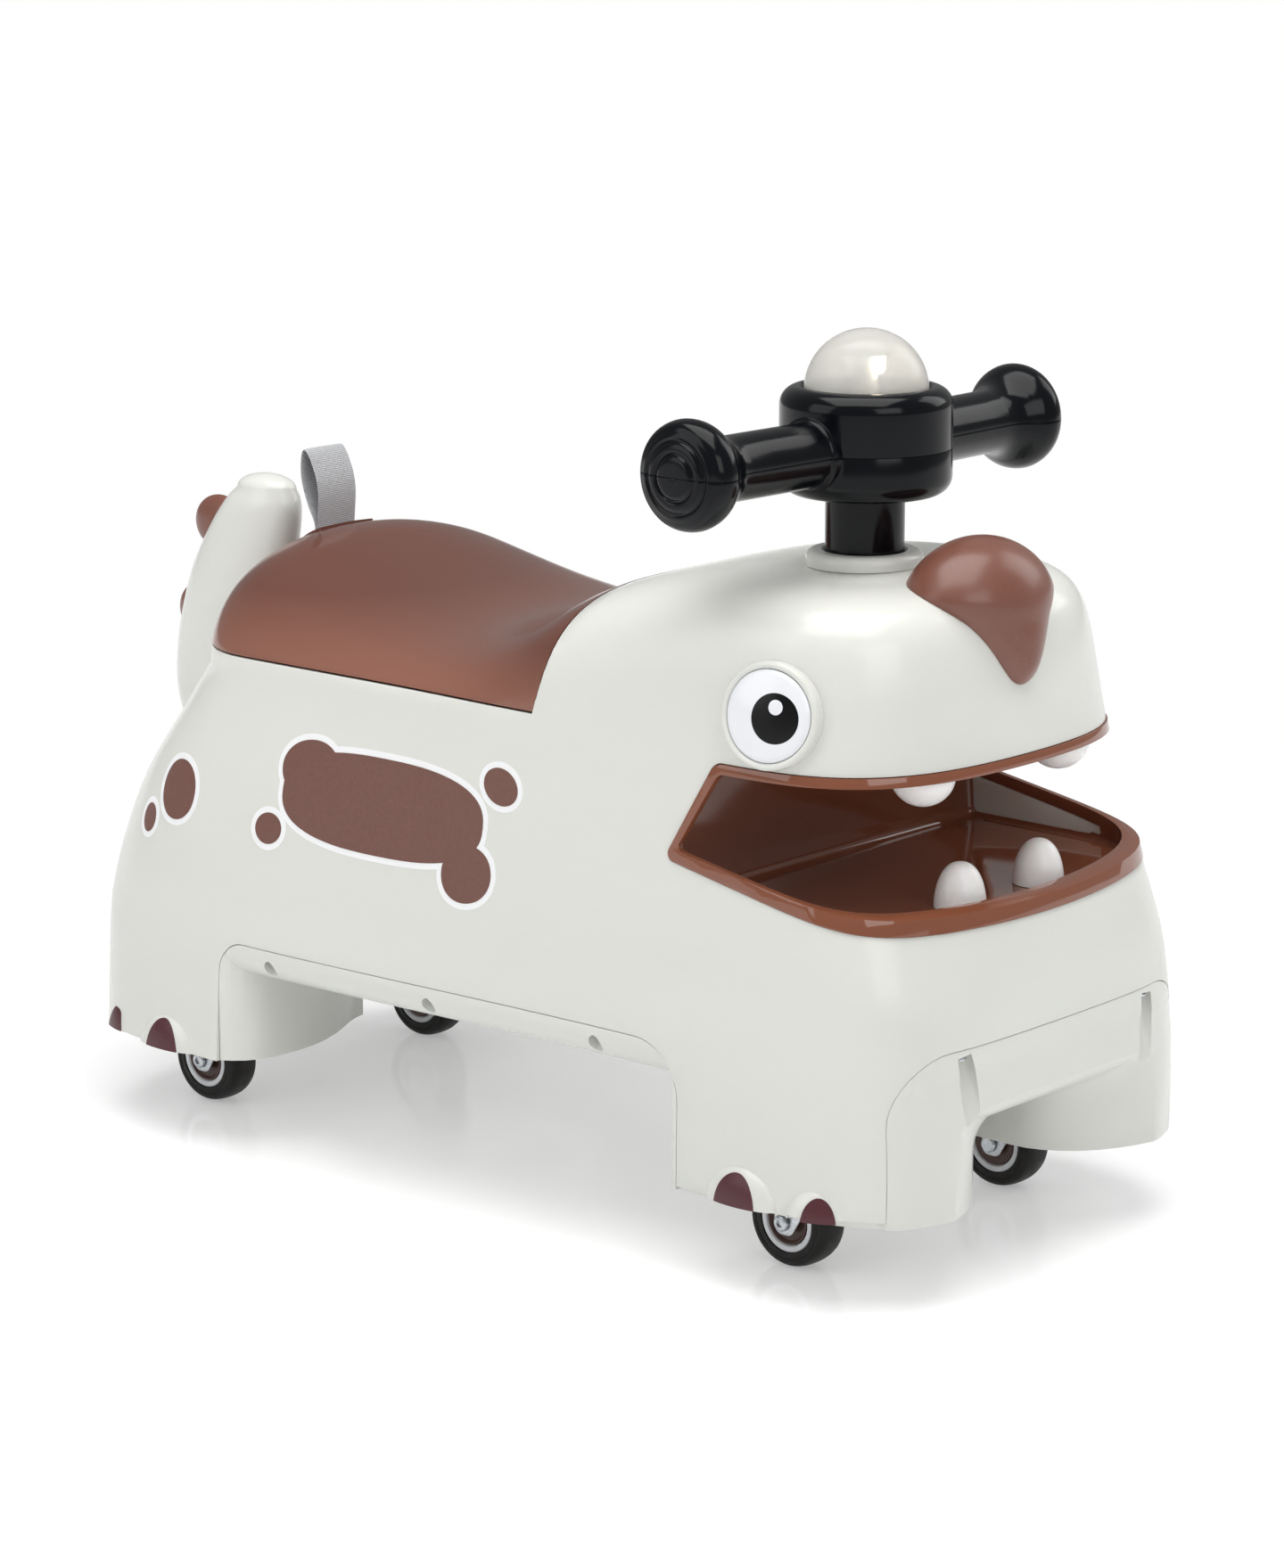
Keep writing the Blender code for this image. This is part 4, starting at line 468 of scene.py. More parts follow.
def smoothThrough(points, at):
    if at <= points[0][0]:
        return points[0][1]
    if at >= points[-1][0]:
        return points[-1][1]
    slopes = []
    for index in range(len(points)):
        before = points[max(index - 1, 0)]
        after = points[min(index + 1, len(points) - 1)]
        slopes.append((after[1] - before[1]) / (after[0] - before[0]))
    index = 0
    while at > points[index + 1][0]:
        index += 1
    start, end = points[index], points[index + 1]
    span = end[0] - start[0]
    share = (at - start[0]) / span
    rise = (2 * share**3 - 3 * share**2 + 1) * start[1] + (3 * share**2 - 2 * share**3) * end[1]
    lean = (share**3 - 2 * share**2 + share) * slopes[index] + (share**3 - share**2) * slopes[index + 1]
    return rise + span * lean


def levelValue(column, height):
    return smoothThrough([(row[0], row[column]) for row in formSettings["levels"]], height)


def roundedSquare(angle, squareness):
    return math.cos(angle) ** (2 / squareness), math.sin(angle) ** (2 / squareness)


def planCorner(share, squareness):
    # a quarter of the rounded outline, its points gathered near the corner
    away = 2 * share - 1
    angle = math.pi / 4 * (1 + away * (0.45 + 0.55 * away * away))
    side, along = math.cos(angle), math.sin(angle)
    reach = (abs(side) ** squareness + abs(along) ** squareness) ** (-1 / squareness)
    return side * reach, along * reach


def halfOutline(height, inset, cornerSteps, sideSteps):
    frontCentre, rearCentre = formSettings["frontCentreY"], formSettings["rearCentreY"]
    rearWidth = levelValue(1, height) - inset
    frontWidth = levelValue(2, height) - inset
    frontReach = frontCentre - levelValue(3, height) - inset
    rearReach = levelValue(4, height) - inset - rearCentre
    points = []
    for step in range(cornerSteps + 1):
        side, along = planCorner(1 - step / cornerSteps, levelValue(5, height))
        bow = levelValue(7, height) * side * side * along
        points.append((frontWidth * side, frontCentre - frontReach * along + bow))
    for step in range(1, sideSteps):
        share = step / sideSteps
        points.append((frontWidth + (rearWidth - frontWidth) * share * share * (3 - 2 * share),
                       frontCentre + (rearCentre - frontCentre) * share))
    for step in range(cornerSteps + 1):
        side, along = planCorner(step / cornerSteps, levelValue(6, height))
        points.append((rearWidth * side, rearCentre + rearReach * along))
    points[0] = (0.0, points[0][1])
    points[-1] = (0.0, points[-1][1])
    return points


def loftRings(name, rings, capTop=True):
    # skins closed rings one after another and caps the ends
    shape = bmesh.new()
    loops = [[shape.verts.new(spot) for spot in ring] for ring in rings]
    for lower, upper in zip(loops, loops[1:]):
        for index in range(len(lower)):
            after = (index + 1) % len(lower)
            shape.faces.new((lower[index], lower[after], upper[after], upper[index]))
    shape.faces.new(loops[0])
    if capTop:
        shape.faces.new(loops[-1])
    bmesh.ops.remove_doubles(shape, verts=shape.verts, dist=0.000004)
    bmesh.ops.recalc_face_normals(shape, faces=shape.faces)
    return fromMesh(name, shape)


def fullRing(half):
    # half an outline joined to its mirror image
    return half + [(-x, y, z) for x, y, z in reversed(half[1:-1])]


def bodyForm(name, inset, bottom, cornerSteps=None, sideSteps=None, shoulderSteps=None, levelSteps=None):
    # the whole body as one closed skin, drawn in by inset and flat at the bottom
    cornerSteps = cornerSteps or formSettings["cornerSteps"]
    sideSteps = sideSteps or formSettings["sideSteps"]
    shoulderSteps = shoulderSteps or formSettings["shoulderSteps"]
    levelSteps = levelSteps or formSettings["levelSteps"]
    shoulder, foot = formSettings["shoulderZ"], formSettings["footZ"]
    rings = []
    heights = [bottom] if bottom < foot else []
    start = max(bottom, foot)
    heights += [start + (shoulder - start) * step / levelSteps for step in range(levelSteps + 1)]
    for height in heights:
        outline = halfOutline(max(height, foot), inset, cornerSteps, sideSteps)
        rings.append(fullRing([(x, y + shiftY, height) for x, y in outline]))
    edge = halfOutline(shoulder, inset, cornerSteps, sideSteps)
    for step in range(1, shoulderSteps + 1):
        angle = math.pi / 2 * step / shoulderSteps
        ring = []
        for x, y in edge:
            reach, rise = roundedSquare(angle, smoothThrough(formSettings["squareness"], y))
            reach *= 1 - smoothThrough(formSettings["lean"], y) * rise
            if step == shoulderSteps:
                reach, rise = 0.0, 1.0
            spine = min(max(y, formSettings["frontCentreY"]), formSettings["rearCentreY"])
            placeY = spine + (y - spine) * reach
            crown = smoothThrough(formSettings["crown"], placeY) - inset
            ring.append((x * reach, placeY + shiftY, shoulder + (crown - shoulder) * rise))
        rings.append(fullRing(ring))
    return loftRings(name, rings, capTop=False)


# What cuts and shapes the shells

bodySettings = {
    "mouthRearLow": (-0.1605, 0.2125), "mouthRearHigh": (-0.189, 0.2655), "mouthFront": (-0.36, 0.1765),
    "mouthRounds": (0.004, 0.008, 0, 0),
    "sideArchY": (-0.1810, 0.1420), "sideArchTop": 0.1205, "sideArchRounds": (0.030, 0.017),
    "endArchHalf": 0.121, "endArchTop": 0.131, "endArchRound": 0.035,
    "hemY": -0.255, "hemZ": 0.049, "footLift": (0.0472, 0.0520),
    "lidEdgeZ": 0.272, "lidFrontSideY": -0.0585, "lidFrontMiddleY": -0.081, "lidFrontSquareness": 3.6,
    "lidHalfWidth": 0.122, "lidGap": 0.0012,
    # x, y, turn; half length, swell and height
    "toes": (((0.1400, -0.2230, 0.0), (0.0230, 0.0075, 0.0210)),
             ((0.1330, -0.2685, 27.0), (0.0180, 0.0080, 0.0180)),
             ((0.1545, 0.1830, 0.0), (0.0230, 0.0066, 0.0250)),
             ((0.1440, 0.2310, -18.0), (0.0180, 0.0068, 0.0215))),
}
across = (-0.25, 0.25)
skinGap = 0.0003  # left between a piece and the body it stands on


def mouthPath(margin):
    low, high, front = (bodySettings[key] for key in ("mouthRearLow", "mouthRearHigh", "mouthFront"))
    corners = [(low[0] + margin + shiftY, low[1] - margin), (high[0] + margin + shiftY, high[1] + margin),
               (front[0] + shiftY, high[1] + margin), (front[0] + shiftY, front[1] - margin)]
    return roundedPath(corners, bodySettings["mouthRounds"], 6)


def archPath(low, high, top, radii):
    return roundedPath([(low, 0.0), (low, top), (high, top), (high, 0.0)], [0, *radii, 0], 10)


def sideArch(gap):
    low, high = (y + shiftY for y in bodySettings["sideArchY"])
    radii = [radius - gap for radius in bodySettings["sideArchRounds"]]
    return archPath(low + gap, high - gap, bodySettings["sideArchTop"] - gap, radii)


def footCut(name, end):
    # what lies under the lifted foot at the front, 0, or at the rear, 1
    reach = (-0.5, 0.0) if end == 0 else (0.0, 0.5)
    return block(name, across, reach, (0.0, bodySettings["footLift"][end]))


def lidZone(name, margin):
    sideY, middleY = bodySettings["lidFrontSideY"], bodySettings["lidFrontMiddleY"]
    reach, steps = sideY - middleY, 18
    right = []
    for step in range(steps + 1):
        side, ahead = roundedSquare(math.pi / 2 * step / steps, bodySettings["lidFrontSquareness"])
        right.append((bodySettings["lidHalfWidth"] * side, sideY - reach * ahead + margin + shiftY))
    left = [(-x, y) for x, y in right]
    front = [(across[0], right[0][1])] + left + list(reversed(right[:-1])) + [(across[1], right[0][1])]
    return slab(name, front + [(across[1], 0.4), (across[0], 0.4)], "Z", bodySettings["lidEdgeZ"] + margin,
                0.5)


def toeSwell(name, place, reach, side):
    # half an ellipsoid that swells out of the body at its lower edge
    x, y, turn = place
    shape = bmesh.new()
    bmesh.ops.create_uvsphere(shape, u_segments=36, v_segments=24, radius=1)
    for corner in shape.verts:
        corner.co = Vector((corner.co.x * reach[1], corner.co.y * reach[0], corner.co.z * reach[2]))
    toe = fromMesh(name, shape)
    toe.data.transform(Matrix.Translation((side * x, y + shiftY, formSettings["footZ"]))
                       @ Matrix.Rotation(math.radians(-turn * side), 4, "Z"))
    combine(toe, block(name + "_under", across, (-0.5, 0.5), (0.0, formSettings["footZ"])))
    return toe


def makeBodyShell():
    settings = bodySettings
    shell = bodyForm("body_moulding", 0.0, formSettings["footZ"])
    for index, (place, reach) in enumerate(settings["toes"]):
        for side in (1, -1):
            combine(shell, toeSwell(f"toe_{index}_{side}", place, reach, side), "UNION")
    combine(shell, bodyForm("body_hollow", formSettings["wall"], 0.0, 14, 10, 12, 12))
    combine(shell, lidZone("lid_opening", 0.0))
    combine(shell, slab("mouth_opening", mouthPath(0.0), "X", *across))
    combine(shell, slab("side_arches", sideArch(0.0), "X", *across))
    half, radius = settings["endArchHalf"], settings["endArchRound"]
    combine(shell,
            slab("end_arches", archPath(-half, half, settings["endArchTop"], (radius, radius)), "Y", -0.5,
                 0.5))
    for end in (0, 1):
        combine(shell, footCut("foot_lift", end))
    combine(shell, block("front_hem", across, (-0.5, settings["hemY"] + shiftY), (0.0, settings["hemZ"])))
    neck = lathe("neck_hole", [(0, 0.28), (0.0240, 0.28), (0.0240, 0.40), (0, 0.40)], 48,
                 (0, steeringSettings["y"] + shiftY, 0))
    combine(shell, neck)
    softenEdges(shell, 0.0008, 2, 50)
    return finishPiece(shell, 32, "body", "toy", ("body_shell",))


baseSettings = {
    "wall": 0.0028, "fit": 0.0031, "deckBottom": 0.101, "deckTop": 0.140, "deckEdge": 0.018,
    "legFloor": 0.0552,
    "legFloorThickness": 0.003, "apronBottom": 0.080, "apronRound": 0.016, "apronFlareRise": 0.28,
    # half width, end y, apron back, inner face, flare reach, flare depth, inner round
    "front": (0.031, -0.3185, -0.250, -0.178, 0.078, 0.055, 0.022),
    "rear": (0.036, 0.2850, 0.225, 0.1225, 0.030, 0.030, 0.034),
    # x and y of the rear legs' inner faces
    "bow": ((0.0, 0.1520), (0.045, 0.1450), (0.075, 0.1310), (0.100, 0.1240), (0.128, 0.1240),
            (0.144, 0.1300),
            (0.1530, 0.1400), (0.160, 0.1520)),
    "pockets": (((0.1475, 0.1051, 0.1120), (0.0, -28.0), 0.0042),
                ((0.1425, -0.0091, 0.1110), (0.0, -28.0), 0.0042),
                ((0.1375, -0.1235, 0.1120), (0.0, -28.0), 0.0042),
                ((0.0757, -0.3135, 0.1150), (-17.0, 5.0), 0.0062)),
    "pocketRise": 0.012, "pocketWall": 0.0022, "screwHead": 0.0036,
}


def passage(name, sizes, grow):
    # space between two legs, flared at both faces and lower under the apron
    halfWidth, endY, apronY, innerY, flareReach, flareDepth, innerRound = sizes
    inward = 1 if endY < 0 else -1
    flareReach, flareDepth, innerRound = flareReach - grow, flareDepth - grow, innerRound - grow
    apron, steps = baseSettings["apronBottom"], 10
    high = baseSettings["deckBottom"] + baseSettings["wall"] / 2
    stations = [(endY - inward * 0.05, flareReach, apron)]
    for step in range(steps + 1):
        angle = math.pi / 2 * (1 - step / steps)
        stations.append((endY + inward * (grow + flareDepth * (1 - math.sin(angle))),
                         flareReach * (1 - math.cos(angle)), apron))
    back = apronY - inward * grow
    stations += [(back - inward * 0.003, 0.0, apron), (back, 0.0, high)]
    for step in range(steps + 1):
        angle = math.pi / 2 * step / steps
        stations.append((innerY - inward * (grow + innerRound * (1 - math.sin(angle))),
                         innerRound * (1 - math.cos(angle)), high))
    stations.append((innerY + inward * 0.05, innerRound, high))
    rings = []
    for y, flare, top in stations:
        x = halfWidth + grow + flare
        z = top + grow + (flare * baseSettings["apronFlareRise"] if top == apron else 0.0)
        rings.append([(a, y + shiftY, b) for a, b in archPath(-x, x, z, (baseSettings["apronRound"],) * 2)])
    return loftRings(name, rings)


def legPair(name, sizes, inset, low, high):
    endY, innerY = sizes[1], sizes[3]
    inward = 1 if endY < 0 else -1
    faceY = innerY - inward * inset
    pair = block(name, across, sorted((endY - inward * 0.045 + shiftY, faceY + shiftY)), (low, high))
    if endY > 0:
        # the rear legs' inner faces bow forward
        bow = [(x, smoothThrough(baseSettings["bow"], abs(x)) + inset + shiftY)
               for x in (-0.1600 + 0.32 * step / 64 for step in range(65))]
        combine(pair, slab(name + "_bow", bow + [(0.17, 0.4), (-0.17, 0.4)], "Z", 0.0, 0.2), "INTERSECT")
    form = bodyForm(name + "_limit", baseSettings["fit"] + inset if inset else 0.0, 0.0, 14, 8, 4, 8)
    combine(pair, form, "INTERSECT")
    return combine(pair, passage(name + "_passage", sizes, inset))


def deckForm(name, inset, low, high):
    rings = []
    radius = baseSettings["deckEdge"] - inset
    heights = []
    for step in range(11):
        angle = math.pi / 2 * step / 10
        heights.append((low + radius * (1 - math.cos(angle)), inset + radius * (1 - math.sin(angle))))
    heights.append((high, inset))
    for height, drawIn in heights:
        rings.append(fullRing([(x, y + shiftY, height) for x, y in halfOutline(height, drawIn, 18, 14)]))
    return loftRings(name, rings)


def pocketPlace(pocket, side):
    # where a screw pocket stands and how it leans
    (x, y, z), (aboutX, aboutY), _ = pocket
    lean = Matrix.Rotation(math.radians(aboutX), 4, "X")
    lean = lean @ Matrix.Rotation(math.radians(aboutY * side), 4, "Y")
    return Matrix.Translation((side * x, y + shiftY, z)) @ lean


def pocketRod(name, pocket, side, radius, above):
    rod = lathe(name, [(0, -0.04), (radius, -0.04), (radius, above), (0, above)], 28)
    rod.data.transform(pocketPlace(pocket, side))
    return rod


def makeBaseShell():
    settings = baseSettings
    top = settings["deckBottom"] + settings["wall"]
    base = deckForm("base_moulding", 0.0, settings["deckBottom"], settings["deckTop"])
    stepIn = bodyForm("base_limit", settings["fit"], 0.0, 14, 10, 4, 12)
    gap = 0.0005
    combine(stepIn, slab("side_face", sideArch(gap), "X", *across), "UNION")
    half, radius = bodySettings["endArchHalf"] - gap, bodySettings["endArchRound"] - gap
    endFace = archPath(-half, half, bodySettings["endArchTop"] - gap, (radius, radius))
    combine(stepIn, slab("end_face", endFace, "Y", -0.5, 0.5), "UNION")
    for word in ("front", "rear"):
        pair = legPair(word + "_legs", settings[word], 0.0, formSettings["footZ"],
                       settings["deckBottom"] + settings["deckEdge"])
        combine(base, pair, "UNION")
    combine(base, stepIn, "INTERSECT")
    softenEdges(base, 0.0012, 3, 40)
    combine(base, block("under_body", (-0.118, 0.118), (-0.29 + shiftY, 0.25 + shiftY), (top, 0.16)))
    for word in ("front", "rear"):
        combine(base,
                legPair(word + "_recess", settings[word], settings["wall"], 0.03, settings["legFloor"]))
    combine(base, footCut("rear_foot_lift", 1))
    for index, pocket in enumerate(settings["pockets"]):
        for side in (1, -1):
            combine(base,
                    pocketRod(f"pocket_{index}_{side}", pocket, side, pocket[2], settings["pocketRise"]))
            screw = makeScrew(f"base_screw_{index}_{'left' if side > 0 else 'right'}", pocket, side)
            mount(dress(screw, looks["zinc"]), "toy", ())
    return finishPiece(base, 32, "body", "toy", ("base_shell",))


def makeScrew(name, pocket, side):
    # pan head with a cross recess at the top of its pocket
    radius = baseSettings["screwHead"]
    top = baseSettings["pocketRise"]
    head = lathe(name,
                 [(0, top - 0.0002), (radius, top - 0.0002), (radius, top - 0.0010),
                  (radius * 0.8, top - 0.0019),
                        (radius * 0.4, top - 0.0023), (0, top - 0.0024)], 24)
    for turn in (0, math.pi / 2):
        slot = block(name + "_slot", (-radius * 0.6, radius * 0.6), (-0.0005, 0.0005),
                     (top - 0.004, top - 0.0014))
        slot.data.transform(Matrix.Rotation(turn, 4, "Z"))
        combine(head, slot)
    head.data.transform(pocketPlace(pocket, side))
    return smoothShade(head, 30)


seatSettings = {
    "thickness": 0.003, "padRise": 0.0015, "padMargin": 0.008, "strapWidth": 0.030,
    "strapFootY": (0.2000, 0.2032),
    "touch": 0.0003,
}


def makeSeat():
    settings = seatSettings
    lid = bodyForm("seat_moulding", 0.0, 0.2, 22, 26, 26, 3)
    half = settings["strapWidth"] / 2 + settings["touch"]
    slotY = (settings["strapFootY"][0] - settings["touch"] + shiftY,
             settings["strapFootY"][1] + settings["touch"] + shiftY)
    edge = settings["padMargin"]
    corners = [(-half - edge, slotY[0] - edge), (half + edge, slotY[0] - edge),
               (half + edge, slotY[1] + edge), (-half - edge, slotY[1] + edge)]
    pad = slab("strap_pad", roundedPath(corners, edge / 2, 8), "Z", 0.315, 0.36)
    combine(pad, bodyForm("pad_limit", -settings["padRise"], 0.2, 22, 26, 26, 3), "INTERSECT")
    softenEdges(pad, 0.0009, 3, 50)
    combine(lid, pad, "UNION")
    combine(lid, bodyForm("lid_hollow", settings["thickness"], 0.15, 12, 12, 12, 3))
    combine(lid, lidZone("lid_limit", bodySettings["lidGap"]), "INTERSECT")
    softenEdges(lid, 0.0009, 3, 60)
    combine(lid, block("strap_slot", (-half, half), slotY, (0.28, 0.42)))
    return finishPiece(lid, 32, "seat", "seat", ("seat_lid",))


# Mouth, teeth, eyes, nose

faceSettings = {
    "lipBand": 0.0055, "lipProud": 0.0008, "rearBands": (0.0077, 0.0033), "lipRounds": (0.003, 0.006, 0, 0),
    "floor": 0.1885, "backY": -0.160, "sheet": 0.0022, "fit": 0.0031,
    "upper": (0.0565, -0.2690, 0.0165, 0.2440), "lower": (0.0329, -0.2755, 0.0134, 0.2120),
    "eye": (0.1197, -0.2218, 0.2933), "eyeTurn": 11.5, "eyeLean": 8, "ring": 0.0272, "disc": 0.0232,
    "eyeProud": 0.0028,
    "doming": 0.0022, "eyeBend": 2.6, "widerInside": 1.05,
}


def makeLiner():
    settings = faceSettings
    liner = slab("mouth_lining", mouthPath(-0.0005), "X", *across)
    combine(liner, bodyForm("lip_limit", -settings["lipProud"], 0.10, 30, 16, 6, 22), "INTERSECT")
    band = settings["lipBand"]
    roof = bodySettings["mouthRearHigh"][1] - band
    inside = settings["fit"]
    basin = block("lining_basin", across, (-0.4, settings["backY"] + settings["sheet"] + shiftY),
                  (settings["floor"] - settings["sheet"], roof + settings["sheet"]))
    combine(basin, bodyForm("basin_limit", inside, 0.0, 14, 8, 6, 10), "INTERSECT")
    combine(liner, basin, "UNION")
    low, high = bodySettings["mouthRearLow"], bodySettings["mouthRearHigh"]
    front = bodySettings["mouthFront"]
    opening = roundedPath([(low[0] - settings["rearBands"][0] + shiftY, low[1] + band),
                           (high[0] - settings["rearBands"][1] + shiftY, roof),
                           (front[0] - 0.02 + shiftY, roof),
                           (front[0] - 0.02 + shiftY, front[1] + band)], settings["lipRounds"], 6)
    combine(liner, slab("lip_opening", opening, "X", *across))
    hollow = block("lining_hollow", across, (-0.4, settings["backY"] + shiftY),
                   (settings["floor"], roof - 0.0003))
    limit = bodyForm("hollow_limit", inside + band, 0.0, 24, 8, 6, 16)
    limit.data.transform(Matrix.Diagonal((settings["widerInside"], 1, 1, 1)))
    combine(hollow, limit, "INTERSECT")
    softenEdges(hollow, 0.006, 5, 40)
    combine(liner, hollow)
    softenEdges(liner, 0.0012, 3, 50)
    return finishPiece(liner, 32, "mouth", "toy", ("mouth_liner",))


def makeTeeth():
    roof = bodySettings["mouthRearHigh"][1] - faceSettings["lipBand"] - skinGap
    foot = faceSettings["floor"] + skinGap
    steps = 14
    angles = [math.pi / 2 * step / steps for step in range(steps)]
    for word, root, fullness in (("upper", roof, 1.0), ("lower", foot, 0.85)):
        x, y, radius, tip = faceSettings[word]
        flank = [(radius * math.cos(angle) ** fullness, root + (tip - root) * math.sin(angle))
                 for angle in angles]
        source = lathe(f"{word}_tooth", [(0, root)] + flank + [(0, tip)], 40)
        dress(smoothShade(source, 60), looks["tooth"])
        for side, name in ((1, "left"), (-1, "right")):
            tooth = copyOf(source, f"{word}_tooth_{name}_fine")
            tooth.data.transform(Matrix.Translation((side * x, y + shiftY, 0)))
            mount(tooth, "toy", (f"{word}_tooth_{name}",))
        bpy.data.objects.remove(source)


eyeMarks = {
    # a spot on the disc: radius, how far forward of the eye's middle, how far up
    "pupil": {"radius": 0.0127, "forward": 0.0054, "up": -0.0006},
    "shine": {"radius": 0.0040, "forward": 0.0058, "up": 0.0050},
}


def discHeight(radius):
    # height of the disc's domed face at a distance from its middle
    settings = faceSettings
    share = min(1.0, radius / settings["disc"])
    edge = max(0.0, share - 0.94) / 0.06
    return settings["eyeProud"] + settings["doming"] * (1 - share**2.2) - 0.0012 * edge**2


def bendEye(piece):
    # follows the head's curve from front to rear
    for corner in piece.data.vertices:
        corner.co.z -= faceSettings["eyeBend"] * corner.co.y**2
    return piece


def makeEyes():
    settings = faceSettings
    steps = 64
    for side, word in ((1, "left"), (-1, "right")):
        lean = Matrix.Rotation(side * math.radians(90 - settings["eyeLean"]), 4, "Y")
        facing = Matrix.Rotation(-side * math.radians(settings["eyeTurn"]), 4, "Z") @ lean
        place = Matrix.Translation((side * settings["eye"][0], settings["eye"][1] + shiftY,
                                    settings["eye"][2])) @ facing
        inner, outer = settings["disc"] + 0.0004, settings["ring"]
        bead = [(outer - 0.0019 + 0.0019 * math.cos(a), 0.0007 + 0.0021 * math.sin(a))
                for a in (math.pi * step / 12 for step in range(13))]
        ringProfile = [(inner, -0.010), (outer, -0.010)] + bead[:-1] + [(inner, 0.0014)]
        ring = lathe(f"eye_ring_{word}_fine", ringProfile, steps, ringed=True)
        radii = [settings["disc"] * (1 - step / 16) for step in range(16)]
        disc = lathe(f"eye_disc_{word}_fine", [(0, -0.010), (settings["disc"], -0.010)]
                     + [(radius, discHeight(radius)) for radius in radii] + [(0, discHeight(0))], steps)
        for piece, look, slot in ((ring, "body", "white_plastic"), (disc, "bright", "bright_white_plastic")):
            bendEye(piece)
            piece.data.transform(place)
            combine(piece, bodyForm(piece.name + "_skin", -skinGap, 0.2, 14, 10, 14, 4))
            dress(smoothShade(piece, 40), looks[look])
        mount(ring, "toy", (f"eye_ring_{word}",))
        mount(disc, "toy", (f"eye_disc_{word}",))
        for mark, sizes in eyeMarks.items():
            lift = 0.00012 if mark == "pupil" else 0.00026
            shape = bmesh.new()
            middle = (-sizes["up"] * side, -sizes["forward"])
            rings = []
            for ringStep in range(1, 9):
                radius = sizes["radius"] * ringStep / 8
                loop = []
                for step in range(40):
                    angle = 2 * math.pi * step / 40
                    a, b = middle[0] + radius * math.cos(angle), middle[1] + radius * math.sin(angle)
                    drop = lift if ringStep < 8 else 0.00002
                    loop.append(shape.verts.new((a, b, discHeight(math.hypot(a, b)) + drop)))
                rings.append(loop)
            centre = shape.verts.new((*middle, discHeight(math.hypot(*middle)) + lift))
            for step in range(40):
                shape.faces.new((centre, rings[0][step], rings[0][(step + 1) % 40]))
            for low, high in zip(rings, rings[1:]):
                for step in range(40):
                    after = (step + 1) % 40
                    shape.faces.new((low[step], high[step], high[after], low[after]))
            bmesh.ops.recalc_face_normals(shape, faces=shape.faces)
            piece = bendEye(fromMesh(f"eye_{mark}_{word}", shape))
            piece.data.transform(place)
            dress(smoothShade(piece, 60), looks["ink" if mark == "pupil" else "bright"])
            mount(piece, "toy", ())


noseSettings = {"centre": (0.0, -0.2588, 0.3345), "reach": (0.0465, 0.0348, 0.0372), "narrowing": 0.58,
                "narrowFrom": 0.3, "thinning": 0.25, "forward": 0.0175, "blunt": 2.6}


def makeNose():
    settings = noseSettings
    shape = bmesh.new()
    bmesh.ops.create_uvsphere(shape, u_segments=64, v_segments=44, radius=1)
    for corner in shape.verts:
        x, y, z = corner.co
        fall = max(0.0, -z)
        if 0 < fall < 0.9999:
            # the lower half is blunter than a ball
            swell = (1 - fall ** settings["blunt"]) ** (1 / settings["blunt"]) / math.sqrt(1 - fall**2)
            x, y = x * swell, y * swell
        start = settings["narrowFrom"]
        down = max(0.0, (start - z) / (1 + start))
        narrow = 1 - settings["narrowing"] * math.sin(math.pi / 2 * down) ** 1.3
        ahead = y * settings["reach"][1] * (1 - settings["thinning"] * fall**2)
        ahead -= settings["forward"] * fall**1.5
        corner.co = (x * settings["reach"][0] * narrow, ahead + settings["centre"][1] + shiftY,
                     z * settings["reach"][2] + settings["centre"][2])
    nose = fromMesh("nose_moulding", shape)
    combine(nose, bodyForm("nose_skin", -skinGap, 0.2, 18, 10, 18, 4))
    softenEdges(nose, 0.0008, 2, 60)
    return finishPiece(nose, 50, "brown", "toy", ("nose",))


tailSettings = {
    "path": ((0.2450, 0.160, 0.0300, 0.0340), (0.2700, 0.180, 0.0280, 0.0360),
             (0.2885, 0.210, 0.0260, 0.0375),
             (0.2895, 0.245, 0.0245, 0.0375), (0.2795, 0.285, 0.0220, 0.0370),
             (0.2675, 0.315, 0.0190, 0.0325),
             (0.2595, 0.333, 0.0162, 0.0262), (0.2570, 0.340, 0.0135, 0.0205)),
    "tipRise": 0.0085, "spikes": (("upper", 0.2965, 0.3150, 0.020), ("lower", 0.3140, 0.2610, 0.018)),
    "spikeHalf": (0.0075, 0.0165),
}


def tailForm(name, inflate, sides=48, stations=40):
    path = tailSettings["path"]
    rings = []
    for step in range(stations + 1):
        height = path[0][1] + (path[-1][1] - path[0][1]) * step / stations
        y, halfX, halfY = (smoothThrough([(row[1], row[column]) for row in path], height)
                           for column in (0, 2, 3))
        rings.append((y, height, halfX, halfY))
    endY, endZ, endX, endDepth = rings[-1]
    for step in range(1, 12):
        angle = math.pi / 2 * step / 12
        rings.append((endY, endZ + tailSettings["tipRise"] * math.sin(angle), endX * math.cos(angle),
                      endDepth * math.cos(angle)))
    loops = [[((halfX + inflate) * math.cos(2 * math.pi * side / sides),
               y + shiftY + (halfY + inflate) * math.sin(2 * math.pi * side / sides), height)
              for side in range(sides)]
             for y, height, halfX, halfY in rings]
    return loftRings(name, loops)


